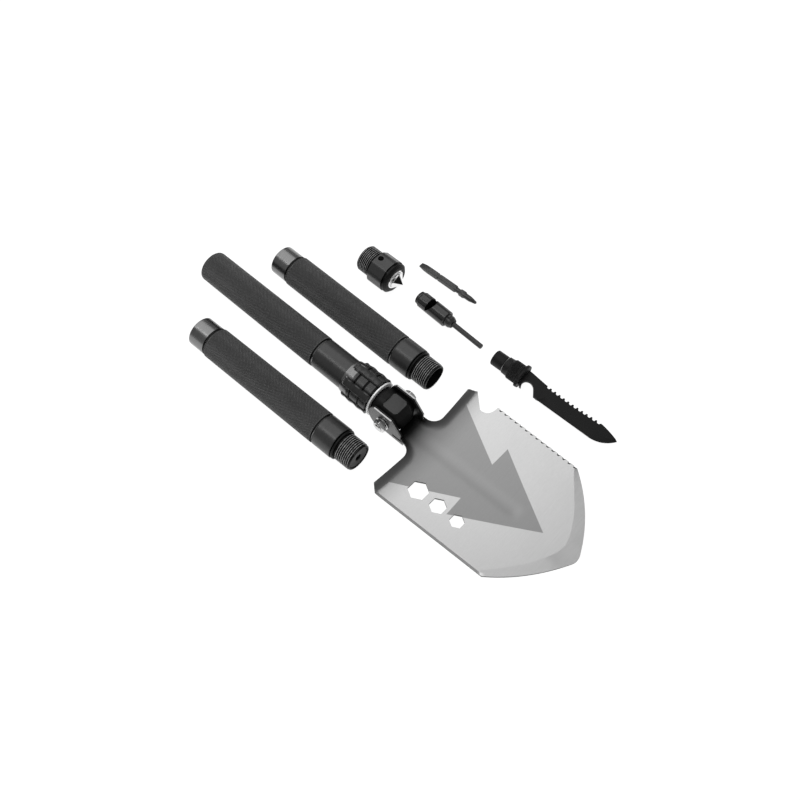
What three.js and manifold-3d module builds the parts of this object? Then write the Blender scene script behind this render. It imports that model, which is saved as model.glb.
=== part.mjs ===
// Modular camp shovel, laid out as a kit: the shovel head with its grip, two extension tubes,
// a hammer cap, a driver bit, a whistle with a fire rod, and a knife.
// Millimetres, +Z up. The shovel lies along +X with its blade tip forward and its face up.
// The origin is under the middle of the kit, on the ground.
import * as THREE from 'three';
import { mergeVertices } from 'three/addons/utils/BufferGeometryUtils.js';
import Module from 'manifold-3d';

const wasm = await Module();
wasm.setup();

// ---------------------------------------------------------------- driving dimensions

const ROUND = 28; // facets on a large turned surface
const SMALL_ROUND = 16; // facets on a small turned surface
const MEDIUM_ROUND = 20;
const SHEET_ROWS = 22; // facets along and across the bent blade sheet
const SHEET_COLUMNS = 20;
const REAR_CROWDING = 1.35; // more rows near the rolled rear edge
const GAP = 0.3; // clearance between pieces that touch
const FAR = 40; // reach of a cutting solid, past the piece that it cuts

// Turned tubes
const KNURL_RADIUS = 16.25;
const SMOOTH_RADIUS = 15.8;
const TUBE_BORE_RADIUS = 11.6;
const THREAD_RADIUS = 14.0;
const SOCKET_RADIUS = 14.2;
const SOCKET_DEPTH = 20;
const GROOVE_DEPTH = 1.1; // of the groove at the end of the knurling
const GROOVE_WIDTH = 1;
const GROOVE_SIDE = 0.2;
const EDGE = 1; // chamfer on a tube's end and on a thread's start

// Shovel, measured from the hinge pivot
const COLLAR_RADIUS = 19.6;
const AXIS_HEIGHT = COLLAR_RADIUS;
const GRIP_END = -247;
const GRIP_KNURL_END = -94.5;
const HANDLE_FRONT = -46;
const COLLAR_REAR = -55;
const COLLAR_SKIRT = -40; // behind here the collar slides over the handle tube
const COLLAR_RAMP_LENGTH = 9.5;
const COLLAR_RAMP_RISE = 1.4;
const COLLAR_GROOVES = [-41.5, -30.8];
const COLLAR_GROOVE_HALF = 1.1;
const COLLAR_GROOVE_DEPTH = 1.1;
const RAIL_COUNT = 6;
const RAIL_TURN = -14.5; // degrees from straight up to the first rail
const RAIL_START = -52.5;
const RAIL_WIDTH = 8.2;
const RAIL_HEIGHT = 1.3;
const RING_FRONT = -18.3;
const RING_THICKNESS = 1.5;
const RING_RADIUS = 17.6;
const HEAD_RADIUS = 15.9;
const HEAD_HALF_HEIGHT = 13.4;
const HEAD_HALF_WIDTH = 12.9;
const HEAD_CORNER_RADIUS = 17; // ball that trims the head's upper front corners
const HEAD_FLAT_REAR = -8;
const NECK_RADIUS = 13.6;
const STEM_RADIUS = 12.2;
const STEM_END = -85;
const HANDLE_BORE_RADIUS = 12.5;
const PIVOT_RADIUS = 3.9;
const PIVOT_HOLE_RADIUS = 4.2;
const BOLT_END = 24;
const BOLT_FLATS = 12;
const BOLT_HEAD = 4.6;
const NUT_FLATS = 11.6;
const NUT_HEIGHT = 5;
const WASHER = 1.2;
const WASHER_RADIUS = 7;

// Blade, measured from the hinge pivot
const SHEET = 2.4;
const EAR_INNER = 13.2;
const EAR_OUTER = 16.2;
const EAR_SWEEP_RADIUS = 18;
const EAR_REAR = -14;
const EAR_TOP = 14.3;
const EAR_BOTTOM = -12.7;
const EAR_TOP_END = 9.7;
const EAR_FRONT = 21;
const EAR_CHAMFER = 2.5;
const FLOOR_REAR = 12;
const FLANGE_LINE = 34.6;
const FLARE_RADIUS = 11; // where the neck's sides turn out into the shoulders
const SHOULDER_CORNER = 63.6; // half width at which the shoulder's corner is cut
const SHOULDER_SET_BACK = 1.6;
const SHOULDER_X = 39;
const SHOULDER_HALF = 69;
const SIDE_END_X = 156;
const SIDE_END_HALF = 65.8;
const TIP_X = 206;
const TIP_BLUNT = 1.6;
const TIP_HALF = 6;
const FRONT_BULGE_X = 188.8; // control point of the curved front edges
const FRONT_BULGE_Y = 42.4;
const OPENER_REAR = 54; // bottle-opener notch in the right side
const OPENER_FRONT = 64;
const OPENER_FLOOR = 56.4;
const FLANGE_WIDTH = 8;
const BLADE_DEPTH = -13.4; // centre line below the pivot at the shoulders
const BLADE_PITCH = 0.045;
const BLADE_DISH = 6.5;
const FLANGE_RISE = 6.2;
const RIB_DEPTH = 0.7;
const RIB_HALF = 8;
const RIB_END = 146;
const RIB_RUN_OUT = 8;
const OUTER_FALL = 0.35; // how much lower the rolled edge is at the corners
const WRENCH_Y = -41;
const WRENCH_HOLES = [
  { x: 65, acrossFlats: 17 },
  { x: 87.5, acrossFlats: 14 },
  { x: 109, acrossFlats: 12 },
];
const SAW_START = 65.5;
const SAW_TEETH = 15;
const SAW_DEPTH = 2;
const SAW_START_HALF = 68.2; // half width where the saw starts

// Extension tubes, measured from the socket end
const TUBE_LENGTH = 206;
const TUBE_END_RADIUS = 15.25;
const TUBE_END_LENGTH = 18.9;
const TUBE_KNURL_START = 22.1;
const TUBE_KNURL_END = 160.6;
const TUBE_SHOULDER = 184;
const TUBE_GLAND_END = 188;
const GLAND_RADIUS = 13;
const TUBE_FRONT_RADIUS = 16; // of the plain band behind the shoulder
const ORING_SECTION = 1.1;
const ORING_STEPS = 6;
const PLUG_LENGTH = 16;
const PLUG_SET_BACK = 0.6; // behind the tube's threaded end
const BIT_ACROSS_FLATS = 6.35;
const BIT_SOCKET_FLATS = 6.8;
const BIT_SOCKET_DEPTH = 12;

// Hammer cap, measured from its threaded end
const CAP_RADIUS = 16.9;
const CAP_THREAD = 16;
const CAP_BODY_END = 37.6;
const CAP_FACE = 41.4;
const CAP_APEX = 51.3;
const CAP_FLATS_HALF = 16.4; // half of the distance across the body's eight flats
const CAP_BORE_RADIUS = 10.5;
const CAP_BORE_DEPTH = 12;
const CAP_HOLE_X = 21.6; // cross hole
const CAP_HOLE_RADIUS = 3;
const CAP_RECESS_RADIUS = 10.6;
const CAP_RECESS_DEPTH = 7;
const CAP_RING_RADIUS = 10.3;
const CAP_RING_BORE = 8.6;
const TIP_BASE_RADIUS = 8.3;
const TIP_SHANK_RADIUS = 6;
const TIP_SHANK_DEPTH = 17;
const TIP_SEAT_DEPTH = 6.7; // how deep the tip's base and its ring sit in the recess
const TIP_BASE_RISE = 0.8;
const TIP_POINT_RADIUS = 13.5; // of the pyramid that grinds the four faces
const TIP_POINT_HEIGHT = 16;

// Driver bit, whistle and knife
const BIT_LENGTH = 73.4;
const BIT_SLOT_NECK = 2.5; // radius at the slotted point, and where its taper ends
const BIT_SLOT_END = 11;
const BIT_WAIST = [47, 53]; // retaining groove
const BIT_WAIST_RADIUS = 2.6;
const BIT_CROSS_START = 58;
const BIT_CROSS_RADIUS = 2.8;
const BIT_CROSS_TAPER = 68;
const BIT_CROSS_END_RADIUS = 1.2;
const BIT_BLADE_HALF = 1.1; // half thickness left between the slotted point's wedges
const WHISTLE_RADIUS = 8.3;
const WHISTLE_LENGTH = 38.9;
const WHISTLE_WINDOW = 15;
const WHISTLE_BORE = 6.4;
const WHISTLE_PLUG_START = 10;
const WHISTLE_CAP_RADIUS = 6.8;
const WHISTLE_CAP_HEAD = 7.2;
const WHISTLE_CAP_END = 4;
const SPIGOT_RADIUS = 4.4; // of the cap inside the body
const SPIGOT_END = 9;
const HOLDER_START = 29;
const HOLDER_RADIUS = 6.1;
const HOLDER_END = 46.7;
const ROD_START = 35;
const ROD_RADIUS = 2.6;
const ROD_END = 84.2;
const LUG_HOLE_RADIUS = 0.9;
const KNIFE_BASE_RADIUS = 7.9;
const KNIFE_PIN_RADIUS = 4.6; // of the base inside the ferrule
const KNIFE_PIN_LENGTH = 4;
const FERRULE_START = 13;
const FERRULE_END = 31;
const FERRULE_REAR_RADIUS = 8.6;
const FERRULE_BAND_START = 20.5;
const FERRULE_BAND_RADIUS = 10.3;
const TANG_HALF = 4;
const GUARD_THICKNESS = 3;
const GUARD_HALF_HEIGHT = 13;
const GUARD_HALF_DEPTH = 10.4;
const KNIFE_SHOULDER_HALF = 9;
const KNIFE_EDGE_Y = -12;
const KNIFE_SPINE_Y = 6.4;
const KNIFE_SAW_START = 56;
const KNIFE_SAW_END = 117;
const KNIFE_SAW_DEPTH = 2.4;
const KNIFE_SHEET = 2.8;
const KNIFE_TIP = 138.8;
const KNIFE_TEETH = 12;

// Places of the loose pieces: where each one's own zero lies, measured from the hinge pivot
const PLACES = {
  lower_tube: { x: -198.8, y: -59.4, yaw: 1.2 },
  upper_tube: { x: -203.9, y: 53.7, yaw: -0.54 },
  cap: { x: -143.5, y: 112.8, yaw: -0.6 },
  bit: { x: -102.8, y: 151.5, yaw: 0.5 },
  whistle: { x: -74.4, y: 116.9, yaw: -2.9 },
  knife: { x: 27, y: 111.3, yaw: 1.1 },
};

// ---------------------------------------------------------------- materials

function metal(color, roughness, metalness) {
  return new THREE.MeshStandardMaterial({ color, roughness, metalness });
}

const MATERIALS = {
  knurled: metal(0x2b2c2e, 0.6, 0.7),
  anodised: metal(0x232427, 0.35, 0.8),
  blackSteel: metal(0x17181a, 0.45, 0.7),
  blade: metal(0xb9bcbe, 0.4, 0.9),
  bright: metal(0xe2e4e6, 0.2, 1),
  bolt: metal(0xb4b6b8, 0.3, 1),
  rubber: metal(0x0e0e0f, 0.75, 0),
  ferro: metal(0x3a3a3c, 0.65, 0.5),
};

// ---------------------------------------------------------------- solids

function signedVolume(position, index) {
  const a = new THREE.Vector3();
  const b = new THREE.Vector3();
  const c = new THREE.Vector3();
  let total = 0;
  for (let i = 0; i < index.count; i += 3) {
    a.fromBufferAttribute(position, index.getX(i));
    b.fromBufferAttribute(position, index.getX(i + 1));
    c.fromBufferAttribute(position, index.getX(i + 2));
    total += a.dot(b.cross(c)) / 6;
  }
  return total;
}

// A closed geometry as a manifold solid with its faces pointing out.
function solidFrom(geometry) {
  geometry.deleteAttribute('normal');
  geometry.deleteAttribute('uv');
  const merged = mergeVertices(geometry, 1e-4);
  const { position } = merged.attributes;
  const triangles = [];
  const outward = signedVolume(position, merged.index) > 0;
  for (let i = 0; i < merged.index.count; i += 3) {
    const a = merged.index.getX(i);
    const b = merged.index.getX(i + 1);
    const c = merged.index.getX(i + 2);
    if (a !== b && b !== c && c !== a) {
      triangles.push(a, outward ? b : c, outward ? c : b);
    }
  }
  return new wasm.Manifold(new wasm.Mesh({
    numProp: 3,
    vertProperties: new Float32Array(position.array),
    triVerts: new Uint32Array(triangles),
  }));
}

// Turned about the X axis from [x, radius] pairs. A closed profile makes a hollow piece.
function turned(profile, facets = ROUND) {
  const points = profile.map(([x, radius]) => new THREE.Vector2(radius, x));
  return solidFrom(new THREE.LatheGeometry(points, facets).rotateZ(-Math.PI / 2));
}

// A hollow turned piece: the outside from rear to front, then the bore from front to rear.
function turnedHollow(outside, bore, facets = ROUND) {
  return turned([...outside, ...bore, outside[0]], facets);
}

function block(x0, x1, y0, y1, z0, z1) {
  const geometry = new THREE.BoxGeometry(x1 - x0, y1 - y0, z1 - z0);
  return solidFrom(geometry.translate((x0 + x1) / 2, (y0 + y1) / 2, (z0 + z1) / 2));
}

// A round or many-sided rod between two places along X, Y or Z, starting at "from".
function rod(direction, radius, from, length, centre = [0, 0], sides = SMALL_ROUND, turn = 0) {
  const geometry = new THREE.CylinderGeometry(radius, radius, length, sides);
  geometry.rotateY(turn);
  geometry.translate(0, from + length / 2, 0);
  if (direction === 'x') {
    geometry.rotateZ(-Math.PI / 2).translate(0, centre[0], centre[1]);
  } else if (direction === 'y') {
    geometry.translate(centre[0], 0, centre[1]);
  } else {
    geometry.rotateX(Math.PI / 2).translate(centre[0], centre[1], 0);
  }
  return solidFrom(geometry);
}

function hexRadius(acrossFlats) {
  return acrossFlats / Math.sqrt(3);
}

// An outline in X and Y, made thick along Z.
function plate(shape, z0, thickness, curveSegments = 6) {
  const geometry = new THREE.ExtrudeGeometry(shape, { depth: thickness, bevelEnabled: false, curveSegments });
  return solidFrom(geometry.translate(0, 0, z0));
}

// An outline in X and Z, made thick along Y from y0 to y1.
function sidePlate(shape, y0, y1, curveSegments = 6) {
  const geometry = new THREE.ExtrudeGeometry(shape, { depth: y1 - y0, bevelEnabled: false, curveSegments });
  return solidFrom(geometry.rotateX(Math.PI / 2).translate(0, y1, 0));
}

function meshOf(name, solid, material) {
  const { vertProperties, triVerts } = solid.getMesh();
  const geometry = new THREE.BufferGeometry();
  geometry.setAttribute('position', new THREE.BufferAttribute(new Float32Array(vertProperties), 3));
  geometry.setIndex(new THREE.BufferAttribute(new Uint32Array(triVerts), 1));
  geometry.computeVertexNormals();
  const mesh = new THREE.Mesh(geometry, material);
  mesh.name = name;
  return mesh;
}

// ---------------------------------------------------------------- handle and hinge head

function handleTube() {
  const outside = [
    [GRIP_END, KNURL_RADIUS - EDGE],
    [GRIP_END + EDGE, KNURL_RADIUS],
    [GRIP_KNURL_END, KNURL_RADIUS],
    [GRIP_KNURL_END + GROOVE_SIDE, KNURL_RADIUS - GROOVE_DEPTH],
    [GRIP_KNURL_END + GROOVE_WIDTH, KNURL_RADIUS - GROOVE_DEPTH],
    [GRIP_KNURL_END + 3 * GROOVE_WIDTH, SMOOTH_RADIUS],
    [HANDLE_FRONT, SMOOTH_RADIUS],
  ];
  const bore = [
    [HANDLE_FRONT, HANDLE_BORE_RADIUS],
    [GRIP_END + SOCKET_DEPTH, HANDLE_BORE_RADIUS],
    [GRIP_END + SOCKET_DEPTH, SOCKET_RADIUS],
    [GRIP_END, SOCKET_RADIUS],
  ];
  return turnedHollow(outside, bore);
}

// A round bar whose front is round about the pivot, with flats above, below and at both sides,
// and behind it a threaded neck and a stem that is held in the handle tube.
function hingeHead() {
  const profile = [
    [STEM_END, 0],
    [STEM_END, STEM_RADIUS],
    [HANDLE_FRONT + GAP, STEM_RADIUS],
    [HANDLE_FRONT + GAP, NECK_RADIUS],
    [EAR_REAR, NECK_RADIUS],
    [EAR_REAR, HEAD_RADIUS],
    [HEAD_RADIUS, HEAD_RADIUS],
    [HEAD_RADIUS, 0],
  ];
  const sideRear = RING_FRONT + GAP / 2;
  const behindPivot = block(2 * STEM_END, 0, -FAR, FAR, -FAR, FAR);
  const belowPivot = block(0, FAR, -FAR, FAR, -FAR, 0);
  const ball = solidFrom(new THREE.SphereGeometry(HEAD_CORNER_RADIUS, ROUND, ROUND / 2));
  const barrel = rod('y', HEAD_RADIUS, -FAR, 2 * FAR, [0, 0], 2 * ROUND);
  let head = turned(profile).intersect(behindPivot.add(barrel));
  head = head.intersect(behindPivot.add(belowPivot).add(ball));
  for (const side of [-1, 1]) {
    const [z0, z1] = [side * HEAD_HALF_HEIGHT, side * FAR].sort((p, q) => p - q);
    const [y0, y1] = [side * HEAD_HALF_WIDTH, side * FAR].sort((p, q) => p - q);
    head = head.subtract(block(HEAD_FLAT_REAR, FAR, -FAR, FAR, z0, z1));
    head = head.subtract(block(sideRear, FAR, y0, y1, -FAR, FAR));
  }
  return head.subtract(rod('y', PIVOT_HOLE_RADIUS, -FAR, 2 * FAR));
}

function thrustRing() {
  const rear = RING_FRONT - RING_THICKNESS;
  const outside = [[rear, RING_RADIUS], [RING_FRONT - 0.4, RING_RADIUS], [RING_FRONT, RING_RADIUS - 0.4]];
  const bore = [[RING_FRONT, NECK_RADIUS + GAP], [rear, NECK_RADIUS + GAP]];
  return turnedHollow(outside, bore);
}

// Locking collar: a ramp at the rear, two grip grooves round it, and raised rails along it.
function lockingCollar() {
  const front = RING_FRONT - RING_THICKNESS - GAP;
  const body = COLLAR_RADIUS - RAIL_HEIGHT;
  const outside = [[COLLAR_REAR, body - COLLAR_RAMP_RISE], [COLLAR_REAR + COLLAR_RAMP_LENGTH, body]];
  for (const groove of COLLAR_GROOVES) {
    outside.push([groove - COLLAR_GROOVE_HALF, body]);
    outside.push([groove - 0.7 * COLLAR_GROOVE_HALF, body - COLLAR_GROOVE_DEPTH]);
    outside.push([groove + 0.7 * COLLAR_GROOVE_HALF, body - COLLAR_GROOVE_DEPTH]);
    outside.push([groove + COLLAR_GROOVE_HALF, body]);
  }
  outside.push([front - EDGE, body], [front, body - EDGE]);
  const bore = [
    [front, NECK_RADIUS + GAP],
    [COLLAR_SKIRT, NECK_RADIUS + GAP],
    [COLLAR_SKIRT, SMOOTH_RADIUS + GAP],
    [COLLAR_REAR, SMOOTH_RADIUS + GAP],
  ];
  let collar = turnedHollow(outside, bore);
  const railFoot = body - RAIL_HEIGHT;
  const railProfile = [
    [RAIL_START, railFoot],
    [RAIL_START + 3 * RAIL_HEIGHT, COLLAR_RADIUS],
    [front - 1.2 * RAIL_HEIGHT, COLLAR_RADIUS],
    [front - 0.3 * RAIL_HEIGHT, railFoot],
  ];
  const railShell = turned([...railProfile, railProfile[0]]);
  for (let i = 0; i < RAIL_COUNT; i += 1) {
    const rail = block(COLLAR_REAR, front, -RAIL_WIDTH / 2, RAIL_WIDTH / 2, railFoot - 2, FAR);
    const turn = RAIL_TURN + (360 * i) / RAIL_COUNT;
    collar = collar.add(railShell.intersect(rail.rotate([turn, 0, 0])));
  }
  return collar;
}

// ---------------------------------------------------------------- blade

// Distance in from the rolled rear edge: the neck's sides, then the shoulders' line.
function edgeDistance(x, y) {
  const flare = new THREE.Vector2(FLANGE_LINE - FLARE_RADIUS, EAR_OUTER + FLARE_RADIUS);
  const away = Math.abs(y);
  if (x < flare.x) {
    return EAR_OUTER - away;
  }
  if (away > flare.y) {
    return x - FLANGE_LINE;
  }
  return Math.hypot(x - flare.x, away - flare.y) - FLARE_RADIUS;
}

// Height of the sheet's middle surface, measured from the pivot.
function sheetHeight(x, y) {
  const dish = BLADE_DISH * (y / SHOULDER_HALF) ** 2;
  const inwards = THREE.MathUtils.clamp(edgeDistance(x, y), 0, FLANGE_WIDTH);
  const fall = 1 - OUTER_FALL * THREE.MathUtils.clamp(Math.abs(y) / SHOULDER_HALF, 0, 1);
  const roll = FLANGE_RISE * fall * (1 - inwards / FLANGE_WIDTH) ** 2;
  const across = THREE.MathUtils.clamp(Math.abs(y) / RIB_HALF, 0, 1);
  const along = THREE.MathUtils.smoothstep(RIB_END - x, 0, RIB_RUN_OUT);
  const rib = RIB_DEPTH * along * (0.5 + 0.5 * Math.cos(Math.PI * across));
  return BLADE_DEPTH + BLADE_PITCH * (x - SHOULDER_X) + dish + roll - rib;
}

function hexagonPath(x, y, acrossFlats) {
  const path = new THREE.Path();
  const corner = (i) => {
    const angle = (Math.PI / 3) * i + Math.PI / 6;
    return [x + hexRadius(acrossFlats) * Math.cos(angle), y + hexRadius(acrossFlats) * Math.sin(angle)];
  };
  path.moveTo(...corner(0));
  for (let i = 1; i < 6; i += 1) {
    path.lineTo(...corner(i));
  }
  path.closePath();
  return path;
}

// Neck, shoulders, plain cutting edge, pointed front, saw edge and bottle-opener notch.
function bladeOutline() {
  const shape = new THREE.Shape();
  const flareX = FLANGE_LINE - FLARE_RADIUS;
  const flareY = EAR_OUTER + FLARE_RADIUS;
  const cornerX = FLANGE_LINE - SHOULDER_SET_BACK;
  shape.moveTo(FLOOR_REAR, EAR_OUTER);
  shape.lineTo(FLOOR_REAR, -EAR_OUTER);
  shape.lineTo(flareX, -EAR_OUTER);
  shape.absarc(flareX, -flareY, FLARE_RADIUS, Math.PI / 2, 0, true);
  shape.lineTo(cornerX, -SHOULDER_CORNER);
  shape.lineTo(SHOULDER_X, -SHOULDER_HALF);
  shape.lineTo(SIDE_END_X, -SIDE_END_HALF);
  shape.quadraticCurveTo(FRONT_BULGE_X, -FRONT_BULGE_Y, TIP_X - TIP_BLUNT, -TIP_HALF);
  shape.quadraticCurveTo(TIP_X + TIP_BLUNT, 0, TIP_X - TIP_BLUNT, TIP_HALF);
  shape.quadraticCurveTo(FRONT_BULGE_X, FRONT_BULGE_Y, SIDE_END_X, SIDE_END_HALF);
  const pitch = (SIDE_END_X - SAW_START) / SAW_TEETH;
  const slope = (SAW_START_HALF - SIDE_END_HALF) / (SIDE_END_X - SAW_START);
  for (let i = SAW_TEETH - 1; i >= 0; i -= 1) {
    const x = SAW_START + i * pitch;
    const crest = SIDE_END_HALF + slope * (SIDE_END_X - x);
    shape.lineTo(x + 0.6 * pitch, crest - SAW_DEPTH);
    shape.lineTo(x + 0.45 * pitch, crest);
    shape.lineTo(x, crest);
  }
  shape.lineTo(OPENER_FRONT, OPENER_FLOOR + 5);
  shape.quadraticCurveTo(OPENER_FRONT - 3.5, OPENER_FLOOR - 1, OPENER_REAR, OPENER_FLOOR);
  shape.lineTo(SHOULDER_X + 1.5, SHOULDER_HALF);
  shape.lineTo(cornerX, SHOULDER_CORNER);
  shape.lineTo(FLANGE_LINE, flareY);
  shape.absarc(flareX, flareY, FLARE_RADIUS, 0, -Math.PI / 2, true);
  for (const { x, acrossFlats } of WRENCH_HOLES) {
    shape.holes.push(hexagonPath(x, WRENCH_Y, acrossFlats));
  }
  return shape;
}

function bladeSheet() {
  const rear = FLOOR_REAR - 1;
  const length = TIP_X + 2 - rear;
  const width = 2 * SHOULDER_HALF + 4;
  const geometry = new THREE.BoxGeometry(length, width, SHEET, SHEET_ROWS, SHEET_COLUMNS, 1);
  const { position } = geometry.attributes;
  for (let i = 0; i < position.count; i += 1) {
    const share = position.getX(i) / length + 0.5;
    const x = rear + length * share ** REAR_CROWDING;
    const y = position.getY(i);
    position.setXYZ(i, x, y, position.getZ(i) + sheetHeight(x, y));
  }
  return solidFrom(geometry).intersect(plate(bladeOutline(), -FAR, 2 * FAR));
}

// The side view of one ear: its rear top corner follows the circle that it sweeps past the ring.
function earShape() {
  const rearAngle = Math.acos(EAR_REAR / EAR_SWEEP_RADIUS);
  const topAngle = Math.PI - Math.asin(EAR_TOP / EAR_SWEEP_RADIUS);
  const shape = new THREE.Shape();
  const foot = EAR_BOTTOM - 0.6;
  shape.moveTo(EAR_REAR + EAR_CHAMFER, EAR_BOTTOM);
  shape.lineTo(EAR_REAR, EAR_BOTTOM + EAR_CHAMFER);
  shape.lineTo(EAR_REAR, EAR_SWEEP_RADIUS * Math.sin(rearAngle));
  shape.absarc(0, 0, EAR_SWEEP_RADIUS, rearAngle, topAngle, true);
  shape.lineTo(EAR_TOP_END, EAR_TOP);
  shape.lineTo(EAR_FRONT, -1);
  shape.lineTo(EAR_FRONT - 1, -7.5);
  shape.lineTo(EAR_FRONT + 3, -9.5);
  shape.lineTo(EAR_FRONT + 3, foot);
  shape.lineTo(FLOOR_REAR, foot);
  return shape;
}

function blade() {
  let solid = bladeSheet();
  solid = solid.add(sidePlate(earShape(), EAR_INNER, EAR_OUTER));
  solid = solid.add(sidePlate(earShape(), -EAR_OUTER, -EAR_INNER));
  return solid.subtract(rod('y', PIVOT_HOLE_RADIUS, -FAR, 2 * FAR));
}

function pivotBolt() {
  const face = EAR_OUTER + WASHER + 2 * GAP;
  const shank = rod('y', PIVOT_RADIUS, -BOLT_END, BOLT_END + face + GAP);
  const head = rod('y', hexRadius(BOLT_FLATS), face, BOLT_HEAD, [0, 0], 6);
  return shank.add(head);
}

function pivotWasher(side) {
  const from = side > 0 ? EAR_OUTER + GAP : -EAR_OUTER - GAP - WASHER;
  return rod('y', WASHER_RADIUS, from, WASHER).subtract(rod('y', PIVOT_HOLE_RADIUS, -FAR, 2 * FAR));
}

function pivotNut() {
  const from = -EAR_OUTER - 2 * GAP - WASHER - NUT_HEIGHT;
  const nut = rod('y', hexRadius(NUT_FLATS), from, NUT_HEIGHT, [0, 0], 6);
  return nut.subtract(rod('y', PIVOT_HOLE_RADIUS, -FAR, 2 * FAR));
}

// ---------------------------------------------------------------- extension tubes

function extensionTube() {
  const step = EDGE / 2;
  const outside = [
    [0, TUBE_END_RADIUS - step],
    [step, TUBE_END_RADIUS],
    [TUBE_END_LENGTH, TUBE_END_RADIUS],
    [TUBE_END_LENGTH + GROOVE_SIDE, TUBE_END_RADIUS - step],
    [TUBE_KNURL_START - 2 * EDGE, TUBE_END_RADIUS - step],
    [TUBE_KNURL_START, KNURL_RADIUS],
    [TUBE_KNURL_END, KNURL_RADIUS],
    [TUBE_KNURL_END + GROOVE_SIDE, KNURL_RADIUS - GROOVE_DEPTH],
    [TUBE_KNURL_END + GROOVE_WIDTH, KNURL_RADIUS - GROOVE_DEPTH],
    [TUBE_KNURL_END + 2 * GROOVE_WIDTH, TUBE_FRONT_RADIUS],
    [TUBE_SHOULDER - step, TUBE_FRONT_RADIUS],
    [TUBE_SHOULDER, TUBE_FRONT_RADIUS - step],
    [TUBE_SHOULDER, GLAND_RADIUS],
    [TUBE_GLAND_END, GLAND_RADIUS],
    [TUBE_GLAND_END, THREAD_RADIUS],
    [TUBE_LENGTH - EDGE, THREAD_RADIUS],
    [TUBE_LENGTH, THREAD_RADIUS - EDGE],
  ];
  const bore = [
    [TUBE_LENGTH, TUBE_BORE_RADIUS],
    [SOCKET_DEPTH, TUBE_BORE_RADIUS],
    [SOCKET_DEPTH, SOCKET_RADIUS],
    [0, SOCKET_RADIUS],
  ];
  return turnedHollow(outside, bore);
}

// A round-section ring whose middle circle has the given radius.
function oring(x, radius) {
  const profile = [];
  for (let i = 0; i <= ORING_STEPS; i += 1) {
    const angle = (2 * Math.PI * (i % ORING_STEPS)) / ORING_STEPS;
    profile.push([x + ORING_SECTION * Math.cos(angle), radius + ORING_SECTION * Math.sin(angle)]);
  }
  return turned(profile, MEDIUM_ROUND);
}

// Closes the lower tube's threaded end and holds the driver bit in a six-sided socket.
function bitSocketPlug() {
  const face = TUBE_LENGTH - PLUG_SET_BACK;
  const rear = face - PLUG_LENGTH;
  const radius = TUBE_BORE_RADIUS - GAP;
  const step = EDGE / 2;
  const plug = turned([[rear, 0], [rear, radius], [face - step, radius], [face, radius - step], [face, 0]]);
  const socketStart = face - BIT_SOCKET_DEPTH;
  return plug.subtract(rod('x', hexRadius(BIT_SOCKET_FLATS), socketStart, FAR, [0, 0], 6, Math.PI / 6));
}

// ---------------------------------------------------------------- hammer cap

function capBody() {
  const shoulder = CAP_THREAD + 0.6 * EDGE;
  const outside = [
    [0, THREAD_RADIUS - EDGE],
    [EDGE, THREAD_RADIUS],
    [CAP_THREAD - EDGE, THREAD_RADIUS],
    [CAP_THREAD - EDGE / 2, GLAND_RADIUS],
    [shoulder, GLAND_RADIUS],
    [shoulder, CAP_RADIUS - EDGE],
    [shoulder + EDGE, CAP_RADIUS],
    [CAP_BODY_END - 2 * GROOVE_WIDTH, CAP_RADIUS],
    [CAP_BODY_END - 1.5 * GROOVE_WIDTH, CAP_RADIUS - GROOVE_DEPTH],
    [CAP_BODY_END - 0.5 * GROOVE_WIDTH, CAP_RADIUS - GROOVE_DEPTH],
    [CAP_BODY_END, CAP_RADIUS - GAP],
    [CAP_FACE - 2 * EDGE, CAP_RADIUS - EDGE],
    [CAP_FACE, CAP_RADIUS - 3 * EDGE],
    [CAP_FACE, 0],
    [CAP_BORE_DEPTH, 0],
    [CAP_BORE_DEPTH, CAP_BORE_RADIUS],
    [0, CAP_BORE_RADIUS],
  ];
  let cap = turned([...outside, outside[0]]);
  const corner = CAP_FLATS_HALF / Math.cos(Math.PI / 8);
  const flats = rod('x', corner, -EDGE, CAP_APEX, [0, 0], 8, Math.PI / 8);
  cap = cap.intersect(flats.add(block(-EDGE, shoulder, -FAR, FAR, -FAR, FAR)));
  cap = cap.subtract(rod('x', CAP_RECESS_RADIUS, CAP_FACE - CAP_RECESS_DEPTH, FAR));
  cap = cap.subtract(rod('x', TIP_SHANK_RADIUS + GAP, CAP_FACE - TIP_SHANK_DEPTH - EDGE, FAR));
  return cap.subtract(rod('z', CAP_HOLE_RADIUS, -FAR, 2 * FAR, [CAP_HOLE_X, 0], SMALL_ROUND));
}

function capRing() {
  const rear = CAP_FACE - TIP_SEAT_DEPTH;
  const front = CAP_FACE + EDGE / 2;
  const outside = [[rear, CAP_RING_RADIUS], [CAP_FACE, CAP_RING_RADIUS], [front, CAP_RING_RADIUS - EDGE / 2]];
  const bore = [[front, CAP_RING_BORE], [rear, CAP_RING_BORE]];
  return turnedHollow(outside, bore);
}

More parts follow.
